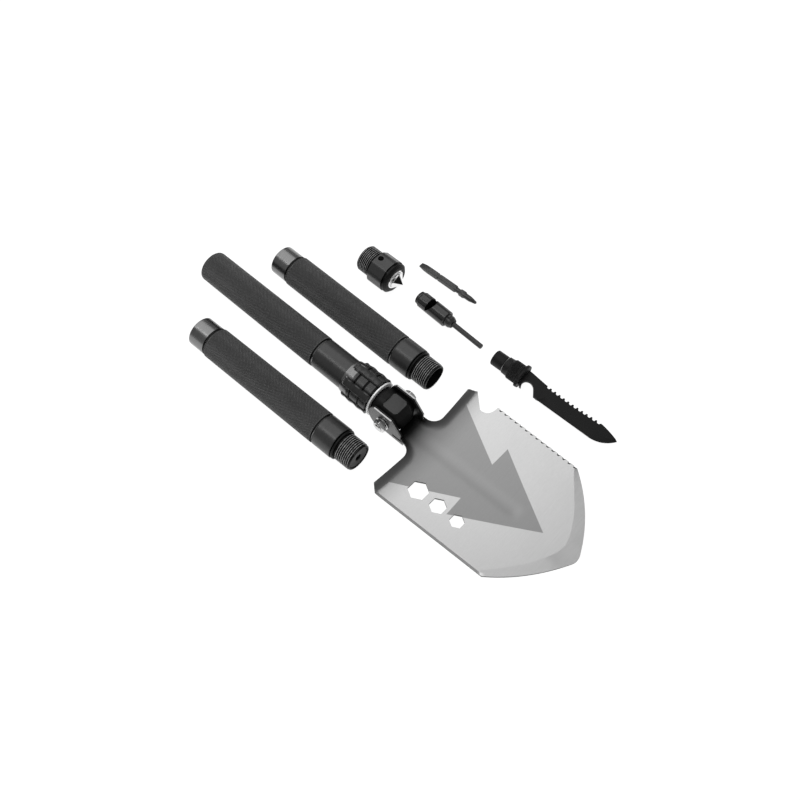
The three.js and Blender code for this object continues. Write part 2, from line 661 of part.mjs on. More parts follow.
// Hardened breaker tip: a round base ground to a four-sided point, on a shank.
function breakerTip() {
  const base = CAP_FACE + TIP_BASE_RISE;
  const profile = [
    [CAP_FACE - TIP_SHANK_DEPTH, 0],
    [CAP_FACE - TIP_SHANK_DEPTH, TIP_SHANK_RADIUS],
    [CAP_FACE - TIP_SEAT_DEPTH, TIP_SHANK_RADIUS],
    [CAP_FACE - TIP_SEAT_DEPTH, TIP_BASE_RADIUS],
    [base, TIP_BASE_RADIUS],
    [base + 1.5 * EDGE, TIP_BASE_RADIUS - 0.4 * EDGE],
    [CAP_APEX, 0],
  ];
  const pyramid = new THREE.CylinderGeometry(0, TIP_POINT_RADIUS, TIP_POINT_HEIGHT, 4);
  pyramid.rotateY(Math.PI / 5).rotateZ(-Math.PI / 2).translate(CAP_APEX - TIP_POINT_HEIGHT / 2, 0, 0);
  const kept = block(0, CAP_APEX - 0.8 * TIP_POINT_HEIGHT, -FAR, FAR, -FAR, FAR);
  return turned(profile).intersect(solidFrom(pyramid).add(kept));
}

// ---------------------------------------------------------------- driver bit

// A six-sided bar with a slotted point at one end and a crossed point at the other.
function driverBit() {
  const radius = hexRadius(BIT_ACROSS_FLATS);
  const [waistRear, waistFront] = BIT_WAIST;
  const slope = radius - BIT_WAIST_RADIUS + EDGE / 2;
  const profile = [
    [0, 0],
    [0, BIT_SLOT_NECK],
    [BIT_SLOT_END - 2 * EDGE, BIT_SLOT_NECK + 0.4 * EDGE],
    [BIT_SLOT_END, radius],
    [waistRear, radius],
    [waistRear + slope, BIT_WAIST_RADIUS],
    [waistFront - slope, BIT_WAIST_RADIUS],
    [waistFront, radius],
    [BIT_CROSS_START, radius],
    [BIT_CROSS_START + 2 * EDGE, BIT_CROSS_RADIUS],
    [BIT_CROSS_TAPER, BIT_CROSS_RADIUS],
    [BIT_LENGTH, BIT_CROSS_END_RADIUS],
    [BIT_LENGTH, 0],
  ];
  const bar = rod('x', radius, 0, BIT_LENGTH, [0, 0], 6, Math.PI / 6);
  let bit = bar.intersect(turned(profile, SMALL_ROUND));
  const wedgeTilt = THREE.MathUtils.degToRad(9.7);
  const wedgeHeight = 3;
  for (const side of [-1, 1]) {
    const wedge = new THREE.BoxGeometry(14, 8, wedgeHeight).rotateY(-side * wedgeTilt);
    bit = bit.subtract(solidFrom(wedge.translate(3.2, 0, side * (BIT_BLADE_HALF + wedgeHeight / 2))));
  }
  const grooveTilt = THREE.MathUtils.degToRad(10.3);
  for (let i = 0; i < 4; i += 1) {
    const groove = new THREE.BoxGeometry(9, 1.5, 1.5).rotateX(Math.PI / 4).rotateY(grooveTilt);
    groove.translate(BIT_LENGTH - 2, 0, 2.3).rotateX((Math.PI / 2) * (i + 0.5));
    bit = bit.subtract(solidFrom(groove));
  }
  return bit;
}

// ---------------------------------------------------------------- whistle and fire rod

function whistleCap() {
  const neck = WHISTLE_CAP_RADIUS - 0.6;
  const profile = [
    [0, 0],
    [0, WHISTLE_CAP_RADIUS - 0.8],
    [0.6, WHISTLE_CAP_RADIUS],
    [1.6, WHISTLE_CAP_RADIUS],
    [1.9, neck],
    [2.5, neck],
    [2.8, WHISTLE_CAP_HEAD],
    [WHISTLE_CAP_END, WHISTLE_CAP_HEAD],
    [WHISTLE_CAP_END, SPIGOT_RADIUS],
    [SPIGOT_END, SPIGOT_RADIUS],
    [SPIGOT_END, 0],
  ];
  return turned(profile, MEDIUM_ROUND);
}

// The tube of the whistle: a plug at its rear takes the cap, and a window is cut in its side.
function whistleBody() {
  const start = WHISTLE_CAP_END + GAP;
  const step = EDGE / 2;
  const outside = [
    [start, WHISTLE_RADIUS - step],
    [start + step, WHISTLE_RADIUS],
    [WHISTLE_LENGTH - step, WHISTLE_RADIUS],
    [WHISTLE_LENGTH, WHISTLE_RADIUS - step],
    [WHISTLE_LENGTH, WHISTLE_BORE],
    [WHISTLE_WINDOW + step, WHISTLE_BORE],
    [WHISTLE_WINDOW + step, 0],
    [WHISTLE_PLUG_START, 0],
    [WHISTLE_PLUG_START, SPIGOT_RADIUS + GAP],
    [start, SPIGOT_RADIUS + GAP],
  ];
  const body = turned([...outside, outside[0]], MEDIUM_ROUND);
  const window = new THREE.Shape();
  const sill = 0.4;
  window.moveTo(WHISTLE_WINDOW, sill);
  window.lineTo(WHISTLE_WINDOW + 1.2, sill);
  window.lineTo(WHISTLE_WINDOW + 10, WHISTLE_RADIUS + 4);
  window.lineTo(WHISTLE_WINDOW, WHISTLE_RADIUS + 4);
  return body.subtract(sidePlate(window, -FAR, FAR));
}

// Holds the fire rod. Its lug, drilled for a cord, stands on the whistle's end.
function rodHolder() {
  const profile = [
    [HOLDER_START, 0],
    [HOLDER_START, HOLDER_RADIUS - 0.9],
    [HOLDER_START + EDGE, HOLDER_RADIUS],
    [HOLDER_END - 3.2, HOLDER_RADIUS],
    [HOLDER_END, HOLDER_RADIUS - 1.5],
    [HOLDER_END, ROD_RADIUS + GAP],
    [ROD_START, ROD_RADIUS + GAP],
    [ROD_START, 0],
  ];
  const lugStart = WHISTLE_LENGTH + GAP;
  const lugEnd = 44;
  const lugTop = 7.9;
  let holder = turned(profile, MEDIUM_ROUND);
  holder = holder.add(block(lugStart, lugEnd, -2, 2, SPIGOT_RADIUS, lugTop));
  return holder.subtract(rod('y', LUG_HOLE_RADIUS, -FAR, 2 * FAR, [(lugStart + lugEnd) / 2, 6.7], 12));
}

function ferroRod() {
  const start = ROD_START + GAP;
  const step = EDGE / 2;
  const profile = [
    [start, 0],
    [start, ROD_RADIUS],
    [ROD_END - step, ROD_RADIUS],
    [ROD_END, ROD_RADIUS - step],
    [ROD_END, 0],
  ];
  return turned(profile, SMALL_ROUND);
}

// ---------------------------------------------------------------- knife

function knifeBase() {
  const face = FERRULE_START - GAP;
  const pinEnd = FERRULE_START + KNIFE_PIN_LENGTH;
  const profile = [
    [0, 0],
    [0, KNIFE_BASE_RADIUS - 0.7 * EDGE],
    [0.7 * EDGE, KNIFE_BASE_RADIUS],
    [face, KNIFE_BASE_RADIUS],
    [face, KNIFE_PIN_RADIUS],
    [pinEnd, KNIFE_PIN_RADIUS],
    [pinEnd, 0],
  ];
  return turned(profile, MEDIUM_ROUND);
}

function tangSlot(x0, x1) {
  const half = KNIFE_SHEET / 2 + GAP;
  return block(x0, x1, -TANG_HALF - GAP, TANG_HALF + GAP, -half, half);
}

function knifeFerrule() {
  const pinEnd = FERRULE_START + KNIFE_PIN_LENGTH + GAP;
  const outside = [
    [FERRULE_START, FERRULE_REAR_RADIUS],
    [FERRULE_BAND_START - 1.5 * EDGE, FERRULE_REAR_RADIUS + 0.4 * EDGE],
    [FERRULE_BAND_START, FERRULE_BAND_RADIUS - GAP],
    [FERRULE_END, FERRULE_BAND_RADIUS],
    [FERRULE_END, 0],
    [pinEnd, 0],
    [pinEnd, KNIFE_PIN_RADIUS + GAP],
    [FERRULE_START, KNIFE_PIN_RADIUS + GAP],
  ];
  const ferrule = turned([...outside, outside[0]], MEDIUM_ROUND);
  return ferrule.subtract(tangSlot(FERRULE_BAND_START - EDGE / 2, FERRULE_END + EDGE));
}

function knifeGuard() {
  const start = FERRULE_END + GAP;
  const shape = new THREE.Shape();
  shape.absellipse(0, 0, GUARD_HALF_DEPTH, GUARD_HALF_HEIGHT, 0, 2 * Math.PI);
  const depth = GUARD_THICKNESS;
  const curveSegments = SMALL_ROUND;
  const geometry = new THREE.ExtrudeGeometry(shape, { depth, bevelEnabled: false, curveSegments });
  const guard = solidFrom(geometry.rotateY(Math.PI / 2).translate(start, 0, 0));
  return guard.subtract(tangSlot(start - EDGE, start + GUARD_THICKNESS + EDGE));
}

// Tang, hooked notch, belly, drop point and the saw along the spine.
function knifeOutline() {
  const shoulder = FERRULE_END + GUARD_THICKNESS + 2 * GAP;
  const shape = new THREE.Shape();
  shape.moveTo(FERRULE_BAND_START, -TANG_HALF);
  shape.lineTo(shoulder, -TANG_HALF);
  shape.lineTo(shoulder, -KNIFE_SHOULDER_HALF);
  shape.lineTo(39.4, KNIFE_EDGE_Y + 0.6);
  shape.quadraticCurveTo(35.8, -6, 38.6, -2.6);
  shape.quadraticCurveTo(43, 1, 48, -3.4);
  shape.quadraticCurveTo(50.4, -6.4, 53.6, KNIFE_EDGE_Y + 0.8);
  shape.lineTo(60, KNIFE_EDGE_Y + 0.2);
  shape.lineTo(118, KNIFE_EDGE_Y - 0.2);
  shape.quadraticCurveTo(130, -11, KNIFE_TIP, 0.8);
  shape.quadraticCurveTo(127, 5.2, KNIFE_SAW_END + 0.6, KNIFE_SPINE_Y - 0.2);
  const pitch = (KNIFE_SAW_END - KNIFE_SAW_START) / KNIFE_TEETH;
  const root = KNIFE_SPINE_Y - KNIFE_SAW_DEPTH;
  for (let i = KNIFE_TEETH - 1; i >= 0; i -= 1) {
    const x = KNIFE_SAW_START + i * pitch;
    shape.lineTo(x + 0.8 * pitch, root);
    shape.lineTo(x + 0.4 * pitch, root + 0.2);
    shape.lineTo(x, KNIFE_SPINE_Y);
  }
  shape.lineTo(shoulder, KNIFE_SHOULDER_HALF);
  shape.lineTo(shoulder, TANG_HALF);
  shape.lineTo(FERRULE_BAND_START, TANG_HALF);
  return shape;
}

function knifeBlade() {
  return plate(knifeOutline(), -KNIFE_SHEET / 2, KNIFE_SHEET);
}

// ---------------------------------------------------------------- assembly

function assembly(place, height, pieces) {
  const set = new THREE.Group();
  set.position.set(place.x, place.y, height);
  set.rotation.z = THREE.MathUtils.degToRad(place.yaw);
  for (const [name, solid, material] of pieces) {
    set.add(meshOf(name, solid, material));
  }
  return set;
}

const { knurled, anodised, blackSteel, bright, bolt, rubber, ferro } = MATERIALS;
const glandMiddle = (TUBE_SHOULDER + TUBE_GLAND_END) / 2;
const oringRadius = GLAND_RADIUS + ORING_SECTION + GAP;

const kit = new THREE.Group();
kit.add(
  assembly({ x: 0, y: 0, yaw: 0 }, AXIS_HEIGHT, [
    ['handle_tube', handleTube(), knurled],
    ['hinge_head', hingeHead(), blackSteel],
    ['thrust_ring', thrustRing(), bright],
    ['locking_collar', lockingCollar(), anodised],
    ['blade', blade(), MATERIALS.blade],
    ['pivot_bolt', pivotBolt(), bolt],
    ['pivot_nut', pivotNut(), bolt],
    ['pivot_washer_left', pivotWasher(-1), bolt],
    ['pivot_washer_right', pivotWasher(1), bolt],
  ]),
  assembly(PLACES.lower_tube, KNURL_RADIUS, [
    ['lower_tube', extensionTube(), knurled],
    ['lower_tube_oring', oring(glandMiddle, oringRadius), rubber],
    ['bit_socket_plug', bitSocketPlug(), anodised],
  ]),
  assembly(PLACES.upper_tube, KNURL_RADIUS, [
    ['upper_tube', extensionTube(), knurled],
    ['upper_tube_oring', oring(glandMiddle, oringRadius), rubber],
  ]),
  assembly(PLACES.cap, CAP_FLATS_HALF, [
    ['cap_body', capBody(), anodised],
    ['cap_ring', capRing(), bright],
    ['breaker_tip', breakerTip(), bright],
  ]),
  assembly(PLACES.bit, BIT_ACROSS_FLATS / 2, [['driver_bit', driverBit(), blackSteel]]),
  assembly(PLACES.whistle, WHISTLE_RADIUS, [
    ['whistle_cap', whistleCap(), anodised],
    ['whistle_body', whistleBody(), anodised],
    ['rod_holder', rodHolder(), anodised],
    ['ferro_rod', ferroRod(), ferro],
  ]),
  assembly(PLACES.knife, GUARD_HALF_DEPTH, [
    ['knife_base', knifeBase(), blackSteel],
    ['knife_ferrule', knifeFerrule(), blackSteel],
    ['knife_guard', knifeGuard(), blackSteel],
    ['knife_blade', knifeBlade(), blackSteel],
  ]),
);

// Put the origin under the middle of the kit.
const bounds = new THREE.Box3().setFromObject(kit, true);
const middle = bounds.getCenter(new THREE.Vector3());
kit.position.set(-middle.x, -middle.y, -bounds.min.z);

export default kit;
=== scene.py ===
"""Looks for a folding camp shovel laid out as a kit: knurled grip and extension tubes, hinge,
two-tone blade, hammer cap, driver bit, whistle with fire rod, and knife."""

import math

import bmesh
import bpy
import numpy as np
from mathutils import Matrix, Vector
from mathutils.geometry import delaunay_2d_cdt


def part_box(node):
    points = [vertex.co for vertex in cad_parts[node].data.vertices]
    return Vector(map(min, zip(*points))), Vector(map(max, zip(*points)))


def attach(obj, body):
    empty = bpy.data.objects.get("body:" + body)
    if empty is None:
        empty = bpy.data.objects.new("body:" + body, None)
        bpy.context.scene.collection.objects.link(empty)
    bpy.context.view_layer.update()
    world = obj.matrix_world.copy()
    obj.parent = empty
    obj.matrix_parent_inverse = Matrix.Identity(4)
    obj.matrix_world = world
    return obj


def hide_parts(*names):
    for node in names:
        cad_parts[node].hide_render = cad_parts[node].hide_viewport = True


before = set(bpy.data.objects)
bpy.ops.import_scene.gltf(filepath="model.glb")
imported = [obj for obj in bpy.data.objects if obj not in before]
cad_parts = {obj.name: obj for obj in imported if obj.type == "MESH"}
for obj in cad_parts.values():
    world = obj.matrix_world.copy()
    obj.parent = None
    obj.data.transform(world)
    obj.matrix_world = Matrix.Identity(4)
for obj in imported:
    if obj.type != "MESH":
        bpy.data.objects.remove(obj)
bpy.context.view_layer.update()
MM = 0.001
TAU = 2 * math.pi

# ---------------------------------------------------------------- sizes, in millimetres

AROUND = 104  # facets on a tube; even, so that the knurl closes on itself
FINE = 96  # facets on a small turned piece

KNURL_RADIUS = 16.25
KNURL_DEPTH = 0.55
SMOOTH_RADIUS = 15.8
TUBE_BORE = 11.6
GRIP_BORE = 12.5
THREAD_RADIUS = 14.0
SOCKET_RADIUS = 14.2
THREAD_PITCH = 2.0

PIN_HOLE = 4.2
COLLAR_RADIUS = 19.6
GRIP_END = -247
GRIP_KNURL_END = -94.5
HANDLE_FRONT = -46
COLLAR_REAR = -55
COLLAR_RAMP = 9.5
COLLAR_TAPER = 1.4
COLLAR_BODY = 18.3
COLLAR_GROOVES = (-41.5, -30.8)
RAIL_COUNT = 6
RAIL_TURN = -14.5
RING_FRONT = -18.3
COLLAR_FRONT = RING_FRONT - 1.8
HEAD_RADIUS = 15.9
BALL_RADIUS = 17
HEAD_TOP = 13.4
HEAD_SIDE = 12.9
FAR = 32  # beyond the hinge head, for the solids that cut it
RING_RADIUS = 17.9
BOLT_RADIUS = 3.9
BOLT_PITCH = 1.25
BOLT_HEAD = 4.6
NUT_HEIGHT = 5
WASHER = 1.2

SHEET = 2.4
EAR_INNER = 13.2
EAR_OUTER = 16.2
FLANGE_LINE = 34.6
FLARE = 11
FLANGE_WIDTH = 8
SHOULDER_X = 39
SHOULDER_HALF = 69
SIDE_END = (156, 65.8)
TIP_X = 206
SAW_START = 65.5
SAW_TEETH = 15
# Depth of the dark patches painted behind each saw tooth as gullet shade.
SAW_SHADE_DEPTH = 2
SAW_NOTCH = 0.8
WRENCH_HOLES = ((65, 17), (87.5, 14), (109, 12))
WRENCH_Y = -41
SHEET_DROP = -13.4  # middle of the sheet at its shoulders, from the pivot
SHEET_SLOPE = 0.045
SHEET_DISH = 6.5
ROLL_RISE = 6.2
RIB_DEPTH = 0.7
RIB_HALF = 9.5
RIB_END = 146

TUBE_LENGTH = 206
CAP_FACE = 41.4
CAP_APEX = 51.3
CAP_CONE = 43.8
FACET_TURN = -23
BIT_LENGTH = 73.4
CROSS_START = 65.5
KNIFE_TIP = 138.8


def middle(node):
    low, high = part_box(node)
    return (low + high) / 2


PIVOT = Vector((middle("pivot_washer_left").x, middle("thrust_ring").y, middle("thrust_ring").z))

# Each group's own zero: x and y from the pivot, yaw in degrees, and axis height above the ground.
PLACES = {
    "shovel": (0, 0, 0, PIVOT.z / MM),
    "lower_tube": (-198.8, -59.4, 1.2, 16.25),
    "upper_tube": (-203.9, 53.7, -0.54, 16.25),
    "cap": (-143.5, 112.8, -0.6, 16.4),
    "bit": (-102.8, 151.5, 0.5, 3.175),
    "whistle": (-74.4, 116.9, -2.9, 8.3),
    "knife": (27, 111.3, 1.1, 10.4),
}


# ---------------------------------------------------------------- mesh tools


class Build:
    """Vertices and faces of one piece, in millimetres, with a finish for each face."""

    def __init__(self):
        self.verts, self.faces, self.finish, self.flat, self.crest = [], [], [], [], []

    def add(self, verts, faces, finish=0, flat=False, crest=None):
        first = len(self.verts)
        self.verts += [tuple(v) for v in verts]
        self.faces += [tuple(first + i for i in f) for f in faces]
        self.finish += [finish] * len(faces) if isinstance(finish, int) else list(finish)
        self.flat += [flat] * len(faces) if isinstance(flat, bool) else list(flat)
        self.crest += [0.0] * len(verts) if crest is None else list(crest)
        return self


def place_matrix(place):
    x, y, yaw, height = PLACES[place]
    where = Matrix.Translation((PIVOT.x + x * MM, PIVOT.y + y * MM, height * MM))
    return where @ Matrix.Rotation(math.radians(yaw), 4, "Z")


def object_of(name, build, sharp=35):
    mesh = bpy.data.meshes.new(name)
    mesh.from_pydata((np.array(build.verts) * MM).tolist(), [], build.faces)
    mesh.polygons.foreach_set("material_index", build.finish)
    mesh.attributes.new("crest", "FLOAT", "POINT").data.foreach_set("value", build.crest)
    mesh.polygons.foreach_set("use_smooth", [not f for f in build.flat])
    shape = bmesh.new()
    shape.from_mesh(mesh)
    bmesh.ops.remove_doubles(shape, verts=shape.verts, dist=1e-6)
    bmesh.ops.recalc_face_normals(shape, faces=shape.faces)
    shape.to_mesh(mesh)
    shape.free()
    mesh.set_sharp_from_angle(angle=math.radians(sharp))
    thing = bpy.data.objects.new(name, mesh)
    bpy.context.scene.collection.objects.link(thing)
    return thing


def carve(thing, cutters, sharp=35):
    """Takes the cutters' space away from a piece."""
    for cutter in cutters:
        tool = object_of("cutter", cutter)
        change = thing.modifiers.new("cut", "BOOLEAN")
        change.object = tool
        change.solver = "EXACT"
        now = thing.evaluated_get(bpy.context.evaluated_depsgraph_get())
        result = bpy.data.meshes.new_from_object(now)
        thing.modifiers.clear()
        thing.data = result
        bpy.data.objects.remove(tool)
    thing.data.set_sharp_from_angle(angle=math.radians(sharp))
    return thing


def put(thing, place, body, nodes, materials):
    thing.matrix_world = place_matrix(place)
    for material in materials:
        thing.data.materials.append(material)
    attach(thing, body)
    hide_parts(*nodes)
    return thing


def smooth(edge0, edge1, value):
    t = np.clip((value - edge0) / (edge1 - edge0), 0, 1)
    return t * t * (3 - 2 * t)


def quadratic(start, control, end, steps=10):
    t = np.linspace(0, 1, steps + 1)[1:, None]
    p, q, r = (np.array(v, float) for v in (start, control, end))
    return [tuple(v) for v in (1 - t) ** 2 * p + 2 * t * (1 - t) * q + t * t * r]


def arc(centre, radius, start, end, steps=10):
    angles = np.radians(np.linspace(start, end, steps + 1))
    return [(centre[0] + radius * math.cos(a), centre[1] + radius * math.sin(a)) for a in angles]


# ---- turned pieces: stations along X, each with a radius that may change with the angle


def plain(points, finish=0):
    """A plain stretch: [x, radius] pairs, where a radius may be a function of the angle."""
    return [(x, r, finish, None) for x, r in points]


def knurl(start, end, radius, depth, around=AROUND, finish=0):
    """Diamond knurling: crests and hollows in turn, half a pitch apart both ways."""
    step = TAU * radius / around  # half a diamond
    count = max(2, 2 * round((end - start) / step / 2))
    stations = []
    for i, x in enumerate(np.linspace(start, end, count + 1)):
        part = 0.5 if i in (0, count) else None
        stations.append((x, (radius, depth, i, part), finish, "knurl"))
    return stations


def bead(start, end, foot, top, finish):
    """A rounded shoulder that rises from a groove."""
    line = []
    for a in np.linspace(0, math.pi / 2, 6):
        rise = (1 - math.cos(a)) ** 0.6
        line.append((start + (end - start) * math.sin(a), foot + (top - foot) * rise))
    return plain(line, finish)


def thread(start, end, root, crest, finish=0, pitch=THREAD_PITCH, per_turn=8):
    count = max(2, round(abs(end - start) / pitch * per_turn))
    return [
        (x, (root, crest, pitch, start, end), finish, "thread")
        for x in np.linspace(start, end, count + 1)
    ]


def turned(stations, around=AROUND, build=None, closed=False):
    """Turns the stations about X. A closed one joins its last station to its first."""
    build = build or Build()
    angle = np.arange(around) * TAU / around
    rows, crests = [], []
    for x, r, _, kind in stations:
        crest = np.zeros(around)
        if kind == "knurl":
            radius, depth, i, part = r
            crest = (np.arange(around) + i) % 2.0
            if part is not None:
                crest = np.full(around, part)
            values = radius - depth * (1 - crest)
        elif kind == "thread":
            root, top, pitch, start, end = r
            turn = (x / pitch - angle / TAU) % 1.0
            crest = np.clip(2.6 * (1 - np.abs(2 * turn - 1)) - 0.9, 0, 1)
            low, high = min(start, end), max(start, end)
            fade = np.clip(min(x - low, high - x) / (0.6 * pitch), 0, 1)
            crest = crest * fade
            values = root + (top - root) * crest
        else:
            values = r(angle) if callable(r) else np.full(around, float(r))
        rows.append(np.stack([np.full(around, x), values * np.cos(angle), values * np.sin(angle)], 1))
        crests.append(crest)
    faces, finish, flat = [], [], []
    pairs = list(zip(range(len(stations) - 1), range(1, len(stations))))
    if closed:
        pairs.append((len(stations) - 1, 0))
    for a, b in pairs:
        diamond = stations[a][3] == stations[b][3] == "knurl"
        for j in range(around):
            k = (j + 1) % around
            p, q, s, t = a * around + j, a * around + k, b * around + k, b * around + j
            if diamond and (stations[a][1][2] + j) % 2:
                corners = [(p, q, t), (q, s, t)]
            elif diamond:
                corners = [(p, q, s), (p, s, t)]
            else:
                corners = [(p, q, s, t)]
            faces += corners
            finish += [stations[b][2]] * len(corners)
            flat += [diamond] * len(corners)
    return build.add(np.concatenate(rows), faces, finish, flat, np.concatenate(crests))


def many_sided(flats, across, turn=0.0):
    """Radius of a regular polygon by angle, in place of a circle."""
    half = math.pi / flats

    def radius(angle):
        return across / 2 / np.cos((angle + turn + half) % (2 * half) - half)

    return radius


def least(*shapes):
    def radius(angle):
        values = [s(angle) if callable(s) else np.full_like(angle, s) for s in shapes]
        return np.minimum.reduce(values)

    return radius


def box(x0, x1, y0, y1, z0, z1, build=None, finish=0):
    corners = [(x, y, z) for x in (x0, x1) for y in (y0, y1) for z in (z0, z1)]
    sides = [(0, 1, 3, 2), (4, 6, 7, 5), (0, 4, 5, 1), (2, 3, 7, 6), (0, 2, 6, 4), (1, 5, 7, 3)]
    return (build or Build()).add(corners, sides, finish)


def bar(direction, radius, start, end, centre=(0, 0), around=48, build=None, finish=0):
    """A round rod along X, Y or Z, with its centre in the other two."""
    shape = turned(plain([(start, 0), (start, radius), (end, radius), (end, 0)], finish), around)
    u, v = centre
    order = {
        "x": lambda p: (p[0], u + p[1], v + p[2]),
        "y": lambda p: (u + p[1], p[0], v + p[2]),
        "z": lambda p: (u + p[1], v + p[2], p[0]),
    }[direction]
    return (build or Build()).add([order(p) for p in shape.verts], shape.faces, shape.finish)


def prism(outline, start, end, finish=0):
    """An outline in X and Z, made thick along Y."""
    count = len(outline)
    walls = [(i, i + count, (i + 1) % count + count, (i + 1) % count) for i in range(count)]
    ends = [tuple(range(count)), tuple(reversed(range(count, 2 * count)))]
    return Build().add([(x, y, z) for y in (start, end) for x, z in outline], ends + walls, finish)


# ---- sheets: an outline filled with triangles, given a top and a bottom surface

ROW_STEP = 0.866  # height of a triangle with sides of one
CLEAR = 0.35  # least share of the spacing between a grid point and a line


def inside(points, polygon):
    points, polygon = np.asarray(points, float), np.asarray(polygon, float)
    x, y = points[:, 0:1], points[:, 1:2]
    x0, y0 = polygon[:, 0], polygon[:, 1]
    x1, y1 = np.roll(x0, -1), np.roll(y0, -1)
    span = (y0 > y) != (y1 > y)
    cross = (x1 - x0) * (y - y0) / np.where(y1 == y0, 1, y1 - y0) + x0
    return (span & (x < cross)).sum(1) % 2 == 1


def line_distance(points, line, closed=False):
    points, line = np.asarray(points, float), np.asarray(line, float)
    start = line if closed else line[:-1]
    end = np.roll(line, -1, 0) if closed else line[1:]
    d = end - start
    t = ((points[:, None] - start) * d).sum(2) / np.maximum((d * d).sum(1), 1e-9)
    foot = start + np.clip(t, 0, 1)[..., None] * d
    return np.linalg.norm(points[:, None] - foot, axis=2).min(1)


def sheet(outline, holes, lines, spacing, top, bottom, finish_of, build, to_space, rim=0):
    """Fills an outline less its holes, follows the given lines exactly, and closes its walls."""
    loops = [outline, *holes]
    low, high = np.min(outline, 0), np.max(outline, 0)
    xs = np.arange(low[0], high[0], spacing)
    ys = np.arange(low[1], high[1], spacing * ROW_STEP)
    grid = np.array([(x + (j % 2) * spacing / 2, y) for j, y in enumerate(ys) for x in xs])
    keep = inside(grid, outline)
    for loop in loops:
        keep &= line_distance(grid, loop, True) > CLEAR * spacing
    for hole in holes:
        keep &= ~inside(grid, hole)
    for line in lines:
        keep &= line_distance(grid, line) > CLEAR * spacing
    points, edges = [], []
    for loop, closed in [(l, True) for l in loops] + [(l, False) for l in lines]:
        first, count = len(points), len(loop)
        points += [tuple(p) for p in loop]
        edges += [(first + i, first + i + 1) for i in range(count - 1)]
        if closed:
            edges.append((first + count - 1, first))
    points += [tuple(p) for p in grid[keep]]
    found = delaunay_2d_cdt([Vector(p) for p in points], edges, [], 0, 1e-5)
    flat = np.array([tuple(v) for v in found[0]])
    triangles = np.array([f for f in found[2] if len(f) == 3])
    centres = flat[triangles].mean(1)
    kept = inside(centres, outline)
    for hole in holes:
        kept &= ~inside(centres, hole)
    triangles, centres = triangles[kept], centres[kept]
    finish = finish_of(centres)
    count = len(flat)
    upper = to_space(flat, top(flat))
    lower = to_space(flat, bottom(flat))
    faces = [tuple(f) for f in triangles] + [tuple(f[::-1] + count) for f in triangles]
    sides = {}
    for a, b, c in triangles:
        for e in ((a, b), (b, c), (c, a)):
            sides[e] = sides.get(e, 0) + 1
    walls = [(a, b) for a, b in sides if (b, a) not in sides]
    faces += [(a, a + count, b + count, b) for a, b in walls]
    marks = list(finish) + list(finish) + [rim] * len(walls)
    return build.add(np.concatenate([upper, lower]), faces, [int(m) for m in marks])


def flat_space(flat, height):
    return np.column_stack([flat, height])


def side_space(flat, height):
    return np.column_stack([flat[:, 0], height, flat[:, 1]])


# ---------------------------------------------------------------- materials


class Finish:
    """A metal, rubber or stone finish made of noise: tone, roughness and a fine relief."""

    def __init__(self, name):
        self.material = bpy.data.materials.new(name)
        self.material.use_nodes = True
        self.nodes = self.material.node_tree.nodes
        self.links = self.material.node_tree.links
        self.shader = self.nodes["Principled BSDF"]
        self.coords = self.nodes.new("ShaderNodeTexCoord").outputs["Object"]

    def noise(self, scale, stretch=(1, 1, 1), detail=4, source=None):
        mapping = self.nodes.new("ShaderNodeMapping")
        mapping.inputs["Scale"].default_value = [scale * s for s in stretch]
        self.links.new(source or self.coords, mapping.inputs["Vector"])
        texture = self.nodes.new("ShaderNodeTexNoise")
        texture.inputs["Scale"].default_value = 1.0
        texture.inputs["Detail"].default_value = detail
        self.links.new(mapping.outputs["Vector"], texture.inputs["Vector"])
        return texture.outputs["Fac"]

    def span(self, value, low, high, start=0.3, end=0.7):
        node = self.nodes.new("ShaderNodeMapRange")
        for socket, number in (("From Min", start), ("From Max", end), ("To Min", low), ("To Max", high)):
            node.inputs[socket].default_value = number
        self.links.new(value, node.inputs["Value"])
        return node.outputs["Result"]

    def sum(self, a, b, share=0.5):
        node = self.nodes.new("ShaderNodeMix")
        node.inputs["Factor"].default_value = share
        self.links.new(a, node.inputs["A"])
        self.links.new(b, node.inputs["B"])
        return node.outputs["Result"]

    def tones(self, dark, light, by):
        node = self.nodes.new("ShaderNodeMix")
        node.data_type = "RGBA"
        a, b = [s for s in node.inputs if s.type == "RGBA"]
        for socket, tone in ((a, dark), (b, light)):
            if isinstance(tone, bpy.types.NodeSocket):
                self.links.new(tone, socket)
            else:
                socket.default_value = (*([tone] * 3 if isinstance(tone, float) else tone), 1)
        self.links.new(by, node.inputs["Factor"])
        return [s for s in node.outputs if s.type == "RGBA"][0]

    def crest(self):
        node = self.nodes.new("ShaderNodeAttribute")
        node.attribute_name = "crest"
        return node.outputs["Fac"]

    def relief(self, height, depth):
        node = self.nodes.new("ShaderNodeBump")
        node.inputs["Distance"].default_value = depth * MM
        self.links.new(height, node.inputs["Height"])
        self.links.new(node.outputs["Normal"], self.shader.inputs["Normal"])

    def wire(self, color, roughness, metallic=0.0, **uniform):
        self.links.new(color, self.shader.inputs["Base Color"])
        self.links.new(roughness, self.shader.inputs["Roughness"])
        self.shader.inputs["Metallic"].default_value = metallic
        for name, value in uniform.items():
            self.shader.inputs[name.replace("_", " ")].default_value = value
        return self.material


